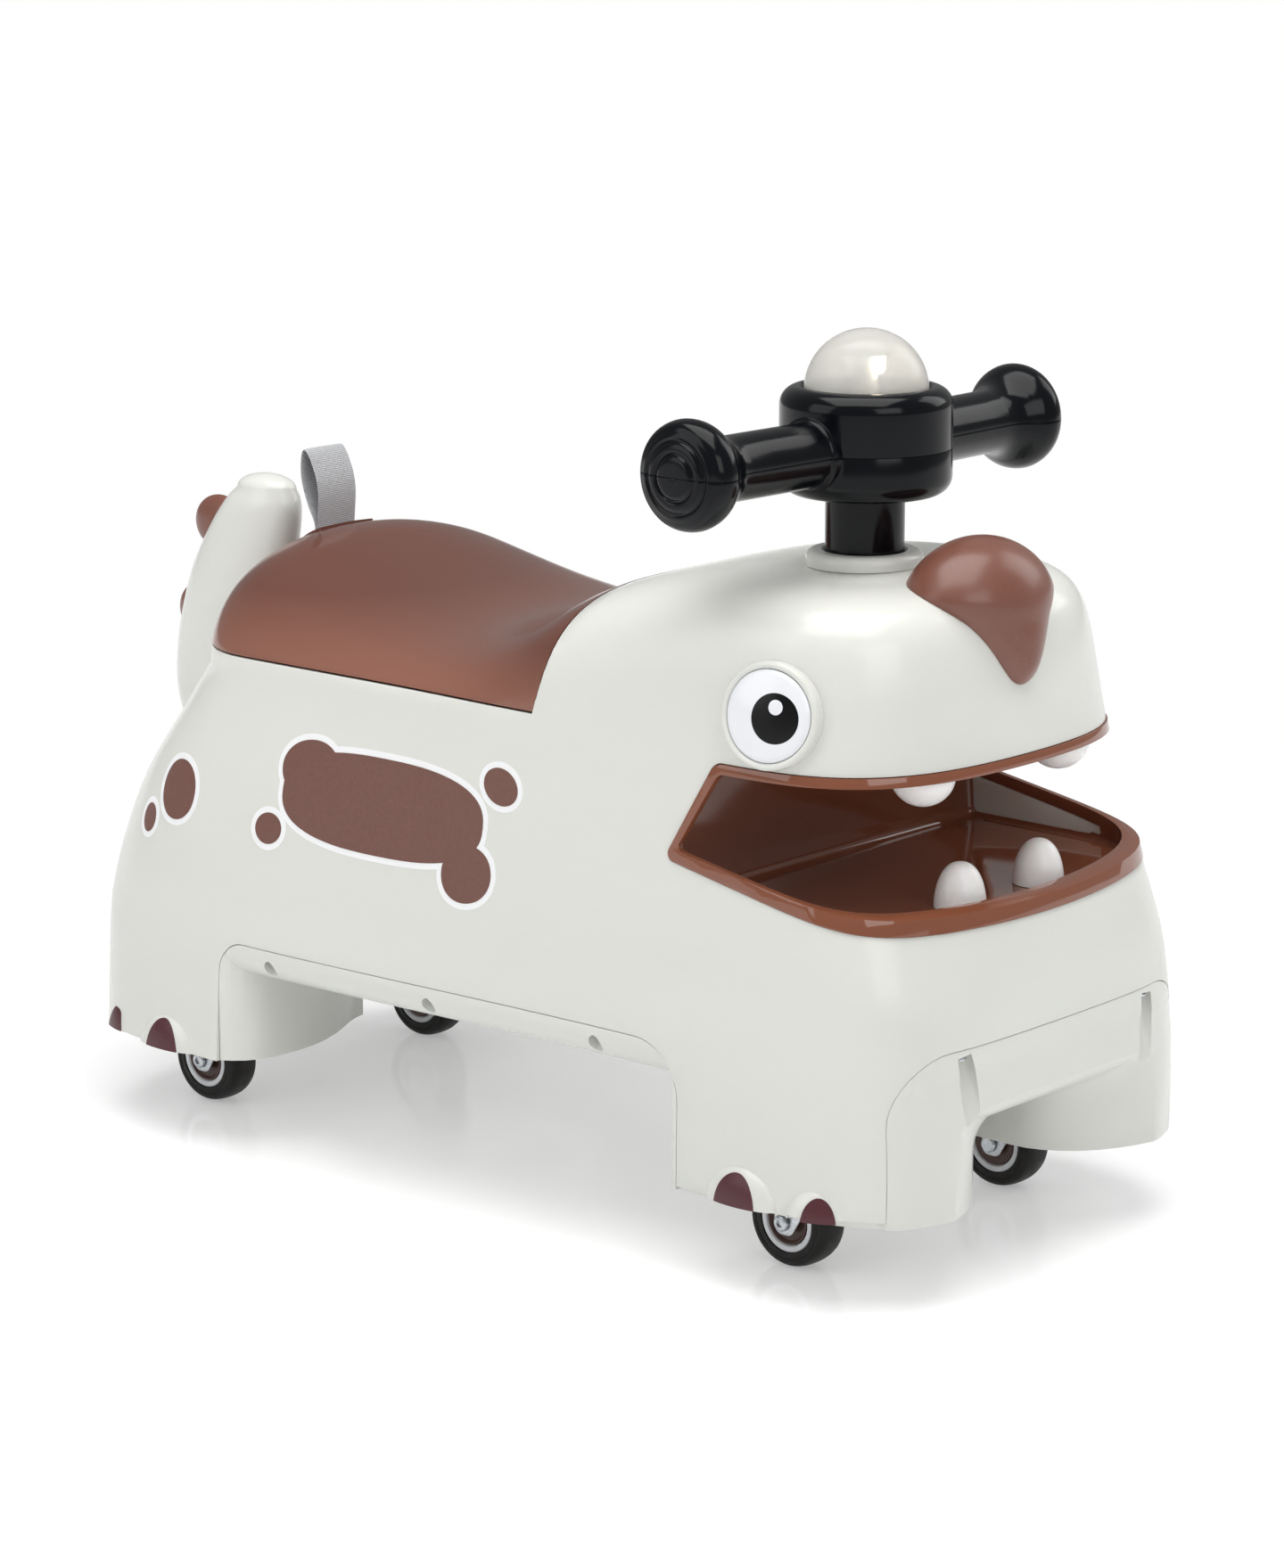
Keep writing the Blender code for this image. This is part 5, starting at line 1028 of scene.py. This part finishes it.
def makeTail():
    tail = tailForm("tail_moulding", 0.0)
    combine(tail, bodyForm("tail_skin", -skinGap, 0.1, 18, 6, 10, 14))
    softenEdges(tail, 0.0008, 2, 60)
    finishPiece(tail, 50, "body", "toy", ("tail",))
    halfX, halfZ = tailSettings["spikeHalf"]
    for word, y, z, reach in tailSettings["spikes"]:
        shape = bmesh.new()
        bmesh.ops.create_uvsphere(shape, u_segments=32, v_segments=24, radius=1)
        for corner in shape.verts:
            corner.co = (corner.co.x * halfX, corner.co.y * reach + y + shiftY, corner.co.z * halfZ + z)
        spike = fromMesh(f"tail_spike_{word}_fine", shape)
        combine(spike, tailForm("tail_allowance", skinGap))
        finishPiece(spike, 50, "brown", "toy", (f"tail_spike_{word}",))


# Neck, steering and light

steeringSettings = {
    "y": -0.1853, "column": 0.0205, "columnWall": 0.003, "sleeveWall": 0.0025, "fit": 0.0005,
    "touch": 0.0003,
    "collar": 0.0305, "collarTop": 0.3565, "collarHeight": 0.0165, "sleeveLength": 0.0595,
    "columnBottom": 0.2910,
    "groove": (0.2935, 0.2967), "grooveDepth": 0.0012,
    "drum": 0.0445, "drumBottom": 0.3855, "drumTop": 0.4410, "drumWall": 0.0035, "footRound": 0.0100,
    "topRound": 0.0098, "lip": 0.005,
    "barZ": 0.4099, "bar": 0.0168, "barHalf": 0.1450, "sweep": 0.034, "flare": 0.0030,
    "dome": 0.0322, "domeZ": 0.4379, "domeWall": 0.0020, "flange": 0.0028, "flangeGap": 0.001,
    "post": 0.006, "postTop": 0.4564, "board": 0.0125, "boardThickness": 0.0012,
    # radius and distance in from the bar's end: a raised disc, a groove, an outer step and the knob's belly
    "knobCap": ((0.0, 0.0001), (0.0070, 0.0002), (0.0102, 0.0006), (0.0112, 0.0016), (0.0121, 0.0020),
                (0.0130, 0.0013), (0.0150, 0.0013), (0.0170, 0.0020), (0.0179, 0.0031), (0.0189, 0.0033),
                (0.0199, 0.0027), (0.0213, 0.0030), (0.0226, 0.0037)),
    "knobBelly": ((0.0226, 0.0037), (0.0250, 0.0048), (0.0268, 0.0070), (0.0279, 0.0105), (0.0280, 0.0140),
                  (0.0268, 0.0185), (0.0243, 0.0226), (0.0214, 0.0262), (0.0190, 0.0302), (0.0175, 0.0348),
                  (0.0168, 0.0400)),
}


def curveThrough(points, per):
    # a smooth run of points through the given ones
    run = []
    for index in range(len(points) - 1):
        before, start = points[max(index - 1, 0)], points[index]
        end, after = points[index + 1], points[min(index + 2, len(points) - 1)]
        for step in range(per):
            share = step / per
            run.append(tuple(0.5 * (2 * b + (c - a) * share + (2 * a - 5 * b + 4 * c - d) * share**2
                                    + (3 * b - a - 3 * c + d) * share**3)
                             for a, b, c, d in zip(before, start, end, after)))
    run.append(tuple(points[-1]))
    return run


def arcPoints(centre, radius, start, end, steps):
    return [(centre[0] + radius * math.cos(math.radians(start + (end - start) * step / steps)),
             centre[1] + radius * math.sin(math.radians(start + (end - start) * step / steps)))
            for step in range(steps + 1)]


steerPlace = (0, steeringSettings["y"] + shiftY, 0)


def makeCollar():
    sizes = steeringSettings
    inner = sizes["column"] + sizes["fit"]
    outer = inner + sizes["sleeveWall"]
    bottom, foot = sizes["collarTop"] - sizes["sleeveLength"], sizes["collarTop"] - sizes["collarHeight"]
    bead = arcPoints((sizes["collar"] - 0.0042, sizes["collarTop"] - 0.0042), 0.0042, 0, 90, 10)
    profile = [(inner, bottom), (outer, bottom), (outer, foot), (sizes["collar"] - 0.001, foot),
               (sizes["collar"] - 0.0002, sizes["collarTop"] - 0.008)] + bead
    profile += [(inner + 0.0012, sizes["collarTop"]), (inner, sizes["collarTop"] - 0.0012)]
    collar = lathe("collar_moulding", profile, 72, steerPlace, ringed=True)
    skin = bodyForm("collar_skin", -skinGap, 0.2, 14, 10, 14, 4)
    keep = outer + skinGap
    combine(skin, lathe("sleeve_keep", [(0, 0.28), (keep, 0.28), (keep, 0.40), (0, 0.40)], 72, steerPlace))
    combine(collar, skin)
    return finishPiece(collar, 35, "body", "toy", ("neck_collar",))


def makeColumn():
    sizes = steeringSettings
    inner, top = sizes["column"] - sizes["columnWall"], sizes["drumBottom"] - sizes["touch"]
    low, high = sizes["groove"]
    waist = sizes["column"] - sizes["grooveDepth"]
    profile = [(inner, sizes["columnBottom"]), (sizes["column"], sizes["columnBottom"]),
               (sizes["column"], low), (waist, low),
               (waist, high), (sizes["column"], high), (sizes["column"], top), (inner, top)]
    column = lathe("column_tube", profile, 72, steerPlace, ringed=True)
    return finishPiece(column, 35, "black", "steering", ("steering_column",))


def makeHandlebar():
    sizes = steeringSettings
    knob = curveThrough(sizes["knobCap"], 2)[:-1] + curveThrough(sizes["knobBelly"], 4)
    half = [(radius, inward - sizes["barHalf"]) for radius, inward in knob]
    # straight, then flared into the drum
    start = sizes["drum"] + sizes["flare"]
    half += [(sizes["bar"], along) for along in (-0.088, -0.076, -0.064)]
    half += [(sizes["bar"] + sizes["flare"] - dip, -start + out)
             for out, dip in arcPoints((0, 0), sizes["flare"], 90, 12, 6)]
    half += [(sizes["bar"] + sizes["flare"] * 0.8, -0.036), (sizes["bar"], -0.020), (sizes["bar"], 0.0)]
    profile = half + [(radius, -along) for radius, along in reversed(half[:-1])]
    bar = lathe("handlebar", profile, 64, (0, steerPlace[1], sizes["barZ"]), "X")
    for corner in bar.data.vertices:
        corner.co.y += sizes["sweep"] * abs(corner.co.x)
    foot = sizes["drum"] - sizes["footRound"]
    hub = [(0, sizes["drumBottom"])] + arcPoints((foot, sizes["drumBottom"] + sizes["footRound"]),
                                                 sizes["footRound"], -90, 0, 10)
    hub += arcPoints((sizes["drum"] - sizes["topRound"], sizes["drumTop"] - sizes["topRound"]),
                     sizes["topRound"], 0, 90, 10)
    hub += [(0, sizes["drumTop"])]
    combine(bar, lathe("hub_drum", hub, 96, steerPlace), "UNION")
    inner, lipZ = sizes["drum"] - sizes["drumWall"], sizes["drumTop"] - sizes["lip"]
    opening = sizes["dome"] + sizes["fit"]
    cavity = [(0, sizes["drumBottom"] + sizes["drumWall"]), (inner, sizes["drumBottom"] + sizes["drumWall"]),
              (inner, lipZ),
              (opening, lipZ), (opening, sizes["drumTop"] - 0.0014), (opening + 0.0014, sizes["drumTop"]),
              (opening + 0.0014, 0.50), (0, 0.50)]
    combine(bar, lathe("hub_cavity", cavity, 96, steerPlace))
    halves = {"handlebar_upper": (sizes["barZ"] + sizes["touch"] / 2, 0.50),
              "handlebar_lower": (0.35, sizes["barZ"] - sizes["touch"] / 2)}
    for name, (low, high) in halves.items():
        piece = copyOf(bar, name + "_fine")
        combine(piece, block(name + "_half", (-0.2, 0.2), (-0.35, 0.0), (low, high)), "INTERSECT")
        softenEdges(piece, 0.00035, 2, 60)
        finishPiece(piece, 34, "black", "steering", (name,))
    bpy.data.objects.remove(bar)


def makeLight():
    sizes = steeringSettings
    flangeTop = sizes["drumTop"] - sizes["lip"] - sizes["touch"]
    flangeOut = sizes["drum"] - sizes["drumWall"] - sizes["fit"] - sizes["flangeGap"]
    inside = sizes["dome"] - sizes["domeWall"]
    outer = arcPoints((0, sizes["domeZ"]), sizes["dome"], 0, 90, 24)[:-1]
    inner = arcPoints((0, sizes["domeZ"]), inside, 90, 0, 22)[1:]
    # the shell is drawn as one line from its inner foot over the flange and the dome, then closed inside
    profile = [(inside, flangeTop - sizes["flange"]), (flangeOut, flangeTop - sizes["flange"]),
               (flangeOut, flangeTop),
               (sizes["dome"], flangeTop)] + outer + [(0, sizes["domeZ"] + sizes["dome"])]
    dome = lathe("dome_outside", profile, 72, steerPlace)
    liningLine = [(inside, flangeTop - sizes["flange"])] + inner[::-1] + [(0, sizes["domeZ"] + inside)]
    lining = lathe("dome_inside", liningLine, 72, steerPlace)
    shape = bmesh.new()
    shape.from_mesh(dome.data)
    shape.from_mesh(lining.data)
    bmesh.ops.remove_doubles(shape, verts=shape.verts, dist=0.00002)
    bmesh.ops.recalc_face_normals(shape, faces=shape.faces)
    bpy.data.objects.remove(dome)
    bpy.data.objects.remove(lining)
    dome = fromMesh("light_cover", shape)
    finishPiece(dome, 35, "dome", "light", ("light_dome",))
    for node, look in (("battery_tray", "bright"), ("circuit_board", "board")):
        piece = refined(node, 0.0002, 2, 40)
        dress(piece, looks[look])
        mount(piece, "steering", (node,))
    low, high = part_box("lamp")
    middle = ((low[0] + high[0]) / 2, (low[1] + high[1]) / 2, 0)
    radius = (high[0] - low[0]) / 2
    lamp = lathe("lamp_body", [(0, low[2])] + arcPoints((0, low[2] + radius), radius, -80, 0, 8)
                 + [(radius, high[2] - 0.001), (radius * 1.1, high[2] - 0.001), (radius * 1.1, high[2]),
                    (0, high[2])],
                 28, middle)
    finishPiece(lamp, 40, "glow", "steering", ("lamp",))


# Casters

casterSettings = {
    "track": 0.1745, "wheelbase": 0.433, "radius": 0.025, "width": 0.0195, "trail": 0.0115, "ring": 0.0165,
    "hub": 0.0126, "bolt": 0.0026, "forkGap": 0.0012, "plate": 0.0016, "top": 0.0538, "stem": 0.0045,
    "stemTop": 0.086, "waistZ": 0.044, "heelZ": 0.036, "toeZ": 0.0185, "halfLengths": (0.011, 0.009, 0.0055),
    "head": 0.0044, "headHeight": 0.0022, "touch": 0.0003,
}


def casterTemplates():
    # one caster round the origin: its outside towards -X, the wheel's middle at the origin, raised as high
    # as its radius where each caster is placed
    sizes = casterSettings
    half = sizes["width"] / 2
    made = {}
    tread = []
    steps = 14
    for step in range(steps + 1):
        along = math.sin((-1 + 2 * step / steps) * math.pi / 2)
        rise = (1 - abs(along) ** 2.55) ** (1 / 2.55)
        tread.append((0.0212 + 0.0038 * rise, half * along))
    inner = sizes["ring"] + sizes["touch"]
    profile = [(inner, -half), (0.0190, -half), (0.0200, -half + 0.0005)] + tread
    profile += [(0.0200, half - 0.0005), (0.0190, half), (inner, half)]
    made["tyre"] = (lathe("tyre_form", profile, 72, axis="X", ringed=True), "tyre", "tyre_black")
    lip = half - 0.0005
    ring = [(sizes["hub"] + sizes["touch"], -lip + 0.0012), (sizes["hub"] + 0.0011, -lip),
            (sizes["ring"] - 0.0004, -lip),
            (sizes["ring"], -lip + 0.0004), (sizes["ring"], lip - 0.0004), (sizes["ring"] - 0.0004, lip),
            (sizes["hub"] + 0.0011, lip), (sizes["hub"] + sizes["touch"], lip - 0.0012)]
    made["wheel_ring"] = (lathe("ring_form", ring, 64, axis="X", ringed=True), "bright",
                          "bright_white_plastic")
    bore, face = sizes["bolt"] + sizes["touch"], half - 0.0022
    hub = [(bore, -half), (0.0054, -half), (0.0059, -half + 0.0005), (0.0063, -face), (0.0105, -face),
           (0.0111, -face - 0.0006), (0.0117, -half + 0.0008), (sizes["hub"], -half + 0.0009),
           (sizes["hub"], half - 0.0009),
           (0.0117, half - 0.0008), (bore, half - 0.0008)]
    made["wheel_hub"] = (lathe("hub_form", hub, 56, axis="X", ringed=True), "hub", "brown_plastic")
    seat = half + sizes["forkGap"] + sizes["plate"] + sizes["touch"]
    end = seat + sizes["headHeight"]
    socket = 0.0021
    bolt = [(0, -end + 0.0012), (socket, -end + 0.0012), (socket, -end), (sizes["head"] * 0.72, -end),
            (sizes["head"] * 0.93, -end + 0.0005), (sizes["head"], -end + 0.0012), (sizes["head"], -seat),
            (sizes["bolt"], -seat),
            (sizes["bolt"], seat), (sizes["head"], seat), (sizes["head"], end - 0.001),
            (sizes["head"] * 0.85, end), (0, end)]
    made["axle_bolt"] = (lathe("bolt_form", bolt, 36, axis="X"), "zinc", "zinc_plate")
    return made


def makeCasters():
    sizes = casterSettings
    made = casterTemplates()
    for piece, _, _ in made.values():
        smoothShade(piece, 32)
    x0, x1 = sizes["width"] / 2 + sizes["forkGap"], sizes["width"] / 2 + sizes["forkGap"] + sizes["plate"]
    crown, waist, toe = sizes["halfLengths"]
    axle = sizes["trail"]
    arm = roundedPath([(-crown, sizes["top"]), (-waist, sizes["waistZ"]), (axle - toe, sizes["toeZ"]),
                       (axle + toe, sizes["toeZ"]),
                       (axle + toe, sizes["heelZ"]), (crown, sizes["top"])],
                      [0, 0.004, 0.005, 0.005, 0.006, 0], 8)
    fork = slab("fork_form", arm, "X", -x1, x1)
    combine(fork, block("fork_slot", (-x0, x0), (-0.03, axle + 0.03), (0, sizes["top"] - sizes["plate"])))
    hole = sizes["bolt"] + 0.0003
    combine(fork, lathe("fork_hole", [(0, -0.03), (hole, -0.03), (hole, 0.03), (0, 0.03)], 32,
                        (0, axle, sizes["radius"]), "X"))
    softenEdges(fork, 0.0005, 3, 40)
    combine(fork, lathe("fork_stem", [(0, sizes["top"] - 0.0008), (sizes["stem"], sizes["top"] - 0.0008),
                                      (sizes["stem"], sizes["stemTop"] - 0.0006),
                                      (sizes["stem"] - 0.0006, sizes["stemTop"]),
                                      (0, sizes["stemTop"])], 32), "UNION")
    smoothShade(fork, 32)
    for isFront in (True, False):
        for side in (1, -1):
            tag = ("front" if isFront else "rear") + ("_left" if side > 0 else "_right")
            x = side * sizes["track"] / 2
            contact = (-sizes["wheelbase"] if isFront else sizes["wheelbase"]) / 2
            stemY = contact - sizes["trail"] + shiftY
            for word, (source, look, slot) in made.items():
                piece = copyOf(source, f"{word}_{tag}_fine")
                if side > 0:
                    piece.data.transform(Matrix.Rotation(math.pi, 4, "Z"))
                piece.data.transform(Matrix.Translation((x, contact + shiftY, sizes["radius"])))
                body = "caster_" + tag if word == "axle_bolt" else "wheel_" + tag
                mount(dress(piece, looks[look]), body, (f"{word}_{tag}",))
            piece = copyOf(fork, f"caster_fork_{tag}_fine")
            piece.data.transform(Matrix.Translation((x, stemY, 0)))
            mount(dress(piece, looks["zinc"]), "caster_" + tag, (f"caster_fork_{tag}",))
            socket = refined(f"caster_socket_{tag}", 0.0002, 2, 45)
            mount(dress(socket, looks["zinc"]), "toy", (f"caster_socket_{tag}",))
    for piece, _, _ in made.values():
        bpy.data.objects.remove(piece)
    bpy.data.objects.remove(fork)


# Spots and toenails

spotSettings = {
    # middle y and z, reach along y and z, squareness, lean of the spot's own axis in degrees
    "spots": (((0.0351, 0.2085, 0.0725, 0.0256, 2.6, 0), (0.0894, 0.2215, 0.0208, 0.0150, 2.1, -8),
               (-0.0290, 0.1830, 0.0170, 0.0150, 2.1, -8)),
              ((-0.0473, 0.2315, 0.0122, 0.0094, 2.0, 18),), ((0.1146, 0.1856, 0.0098, 0.0084, 2.0, 0),),
              ((0.1898, 0.1950, 0.0148, 0.0162, 2.1, 0),), ((0.2138, 0.1754, 0.0064, 0.0078, 2.0, 0),)),
    "margin": 0.0033, "white": 0.00014, "brown": 0.00030, "reachX": (0.06, 0.25),
}


def spotSlab(name, spot, grow, side):
    y, z, reachY, reachZ, squareness, tilt = spot
    path = []
    steps = 72
    for step in range(steps):
        angle = 2 * math.pi * step / steps
        a, b = math.cos(angle), math.sin(angle)
        a = math.copysign(abs(a) ** (2 / squareness), a) * (reachY + grow)
        b = math.copysign(abs(b) ** (2 / squareness), b) * (reachZ + grow)
        turn = math.radians(tilt)
        path.append((y + shiftY + a * math.cos(turn) - b * math.sin(turn),
                     z + a * math.sin(turn) + b * math.cos(turn)))
    low, high = sorted(side * reach for reach in spotSettings["reachX"])
    return slab(name, path, "X", low, high)


def makeSpots():
    sizes = spotSettings
    for layer, grow, lift, look, slot in (("outline", sizes["margin"], sizes["white"], "patchEdge",
                                           "bright_white_plastic"),
                                          ("spot", 0.0, sizes["brown"], "patch", "brown_plastic")):
        for side, word in ((1, "left"), (-1, "right")):
            for index, parts in enumerate(sizes["spots"]):
                patch = spotSlab(f"{layer}_{index + 1}_{word}", parts[0], grow, side)
                for part in parts[1:]:
                    combine(patch, spotSlab("part", part, grow, side), "UNION")
                combine(patch, bodyForm("film_outside", -lift, 0.0), "INTERSECT")
                combine(patch, bodyForm("film_inside", -0.00002, 0.0))
                combine(patch, lidZone("film_lid", -0.0004))
                finishPiece(patch, 30, look, "toy", ())


nailSettings = {"lift": 0.0005,
                # half width and top height of the nail on each toe
                "nails": ((0.0130, 0.0640), (0.0092, 0.0595), (0.0128, 0.0690), (0.0088, 0.0650))}


def makeToenails():
    sizes = nailSettings
    lift = sizes["lift"]
    for index, ((place, reach), (half, top)) in enumerate(zip(bodySettings["toes"], sizes["nails"])):
        for side, word in ((1, "left"), (-1, "right")):
            nail = toeSwell(f"toenail_{index + 1}_{word}", place, tuple(value + lift for value in reach),
                            side)
            x, y, turn = place
            foot = formSettings["footZ"]
            path = [(half * math.cos(a), foot + (top - foot) * math.sin(a))
                    for a in (2 * math.pi * step / 48 for step in range(48))]
            window = slab("nail_window", path, "X", 0.0, 0.06)
            facing = Matrix.Rotation(math.radians(-turn * side) + (0 if side > 0 else math.pi), 4, "Z")
            window.data.transform(Matrix.Translation((side * x, y + shiftY, 0)) @ facing)
            combine(nail, window, "INTERSECT")
            combine(nail, toeSwell("nail_inside", place, tuple(value + 0.00003 for value in reach), side))
            combine(nail, bodyForm("nail_skin", -0.00003, 0.0, 30, 18, 4, 22))
            combine(nail, footCut("nail_foot", 0 if index < 2 else 1))
            finishPiece(nail, 40, "nail", "toy", ())


# Pull loop of woven webbing

strapSettings = {
    "width": 0.030, "thickness": 0.0012, "endZ": 0.3155, "acrossSteps": 12, "per": 6,
    "path": ((0.2000, 0.3155), (0.2000, 0.3260), (0.1988, 0.3420), (0.2002, 0.3526), (0.2042, 0.3622),
             (0.2074, 0.3672),
             (0.2102, 0.3690), (0.2126, 0.3668), (0.2138, 0.3594), (0.2130, 0.3494), (0.2086, 0.3370),
             (0.2032, 0.3260),
             (0.2032, 0.3155)),
}


def makeStrap():
    s = strapSettings
    run = curveThrough(s["path"], s["per"])
    half, thick = s["width"] / 2, s["thickness"]
    middle = []
    for index, (y, z) in enumerate(run):
        before, after = run[max(index - 1, 0)], run[min(index + 1, len(run) - 1)]
        along = (Vector(after) - Vector(before)).normalized()
        middle.append((y + along.y * thick / 2 + shiftY, z - along.x * thick / 2, along))
    length = sum(math.dist(a[:2], b[:2]) for a, b in zip(middle, middle[1:]))
    steps = s["acrossSteps"]
    ring = []
    for face in (1, -1):
        for step in range(steps + 1):
            aside = -math.cos(math.pi * step / steps) * face
            puff = (1 - abs(aside) ** 6) ** (1 / 3)
            ring.append((aside, face * puff * 0.5))
    ring = ring[:steps + 1] + ring[steps + 2:-1]
    shape = bmesh.new()
    cloth = shape.loops.layers.uv.new("UVMap")
    loops, travelled = [], 0.0
    for index, (y, z, along) in enumerate(middle):
        if index:
            travelled += math.dist(middle[index - 1][:2], (y, z))
        loops.append(([shape.verts.new((aside * half, y - along.y * thick * lift,
                                        z + along.x * thick * lift))
                       for aside, lift in ring], travelled / length))
    for (lower, lowAt), (upper, highAt) in zip(loops, loops[1:]):
        for index in range(len(ring)):
            after = (index + 1) % len(ring)
            face = shape.faces.new((lower[index], lower[after], upper[after], upper[index]))
            spots = ((ring[index][0], lowAt), (ring[after][0], lowAt), (ring[after][0], highAt),
                     (ring[index][0], highAt))
            for corner, (aside, along) in zip(face.loops, spots):
                corner[cloth].uv = (aside / 2 + 0.5, along)
    shape.faces.new(loops[0][0])
    shape.faces.new(loops[-1][0])
    bmesh.ops.recalc_face_normals(shape, faces=shape.faces)
    strap = fromMesh("webbing_loop", shape)
    finishPiece(strap, 60, "webbing", "seat", ("pull_loop",))


# Build everything

makeBodyShell()
print("body made")
makeBaseShell()
print("base made")
makeSeat()
print("seat made")
makeLiner()
makeTeeth()
makeEyes()
makeNose()
makeTail()
print("face and tail made")
makeCollar()
makeColumn()
makeHandlebar()
makeLight()
print("steering made")
makeCasters()
print("casters made")
makeSpots()
makeToenails()
makeStrap()
print("spots, toenails and loop made")

keptLooks = {"storage_bin": "binWhite", "strap_anchor": "seat", "column_clip": "zinc",
             "dome_spring": "spring",
             "button_cell_1": "zinc", "button_cell_2": "zinc", "button_cell_3": "zinc"}
for nodeName, lookName in keptLooks.items():
    for place in nodes[nodeName].material_slots:
        place.material = looks[lookName]


# Floor, light and camera

stageSettings = {"floor": shown(244, 244, 245), "glow": 0.32, "size": 14.0, "roomLight": 0.27,
                 "fade": (0.5, 1.1)}


def fadeToWhite(made, reach):
    # the floor turns into plain white away from the toy, so that no horizon shows
    distance = made.add("ShaderNodeVectorMath", operation="LENGTH")
    made.join(made.place.outputs["Object"], distance.inputs[0])
    white = made.add("ShaderNodeEmission")
    blend = made.add("ShaderNodeMixShader")
    made.join(made.ramp(distance.outputs["Value"], *reach, 0.0, 1.0), blend.inputs["Fac"])
    made.join(made.shader.outputs["BSDF"], blend.inputs[1])
    made.join(white.outputs["Emission"], blend.inputs[2])
    made.join(blend.outputs["Shader"], made.tree.nodes["Material Output"].inputs["Surface"])


def makeStage():
    sizes = stageSettings
    bpy.ops.mesh.primitive_plane_add(size=sizes["size"])
    floor = bpy.context.object
    floor.name = "studio_floor"
    made = lookNodes("studio_floor_white")
    tone = made.ramp(made.noise(3))
    made.feed(made.mix(tone, shown(241, 241, 242), sizes["floor"]), "Base Color")
    made.set(Roughness=0.1, Emission_Color=(1, 1, 1, 1), Specular_IOR_Level=0.3)
    # the glow is seen but doesn't light the toy
    ray = made.add("ShaderNodeLightPath")
    seen = ray.outputs["Is Camera Ray"]
    for kind in ("Is Glossy Ray", "Is Transmission Ray"):
        either = made.add("ShaderNodeMath", operation="MAXIMUM")
        made.join(seen, either.inputs[0])
        made.join(ray.outputs[kind], either.inputs[1])
        seen = either.outputs[0]
    made.feed(made.ramp(seen, 0.0, 1.0, 0.0, sizes["glow"]), "Emission Strength")
    fadeToWhite(made, sizes["fade"])
    dress(floor, made.look)
    world = bpy.data.worlds.new("studio")
    world.use_nodes = True
    bpy.context.scene.world = world
    tree = world.node_tree
    background = tree.nodes["Background"]
    background.inputs["Color"].default_value = (1, 1, 1, 1)
    ray = tree.nodes.new("ShaderNodeLightPath")
    level = tree.nodes.new("ShaderNodeMapRange")
    level.inputs["To Min"].default_value = sizes["roomLight"]
    level.inputs["To Max"].default_value = 1.0
    tree.links.new(ray.outputs["Is Camera Ray"], level.inputs["Value"])
    tree.links.new(level.outputs["Result"], background.inputs["Strength"])


lampSettings = {
    # place, size, power, colour
    "top_box": ((-0.3, -0.2, 2.4), (2.2, 2.2), 52, (1.0, 0.995, 0.985)),
    "left_box": ((-2.2, 0.9, 1.3), (1.5, 1.8), 12, (1.0, 1.0, 1.0)),
    "front_box": ((-0.9, -2.6, 1.5), (1.6, 1.4), 14.5, (1.0, 1.0, 1.0)),
    "right_box": ((2.0, -0.9, 1.6), (1.2, 1.6), 13, (1.0, 1.0, 1.0)),
}


def makeLamps():
    aim = Vector((0, 0, 0.2))
    for name, (place, size, power, colour) in lampSettings.items():
        data = bpy.data.lights.new(name, "AREA")
        data.shape = "RECTANGLE"
        data.size, data.size_y = size
        data.energy = power
        data.color = colour
        lamp = bpy.data.objects.new(name, data)
        bpy.context.scene.collection.objects.link(lamp)
        lamp.location = place
        lamp.rotation_euler = (aim - Vector(place)).to_track_quat("-Z", "Y").to_euler()


cameraSettings = {"place": (-1.7469, -1.5772, 0.7554), "turn": (76.802, 0.0, -48.52), "lens": 101.18,
                  "sensor": 36.0}


def makeCamera():
    sizes = cameraSettings
    data = bpy.data.cameras.new("camera")
    data.lens = sizes["lens"]
    data.sensor_fit = "VERTICAL"
    data.sensor_height = sizes["sensor"]
    data.clip_end = 50
    camera = bpy.data.objects.new("camera", data)
    bpy.context.scene.collection.objects.link(camera)
    camera.location = (sizes["place"][0], sizes["place"][1] + shiftY, sizes["place"][2])
    camera.rotation_euler = [math.radians(angle) for angle in sizes["turn"]]
    bpy.context.scene.camera = camera


makeStage()
makeLamps()
makeCamera()
bpy.context.scene.view_settings.view_transform = "Standard"
bpy.context.view_layer.update()
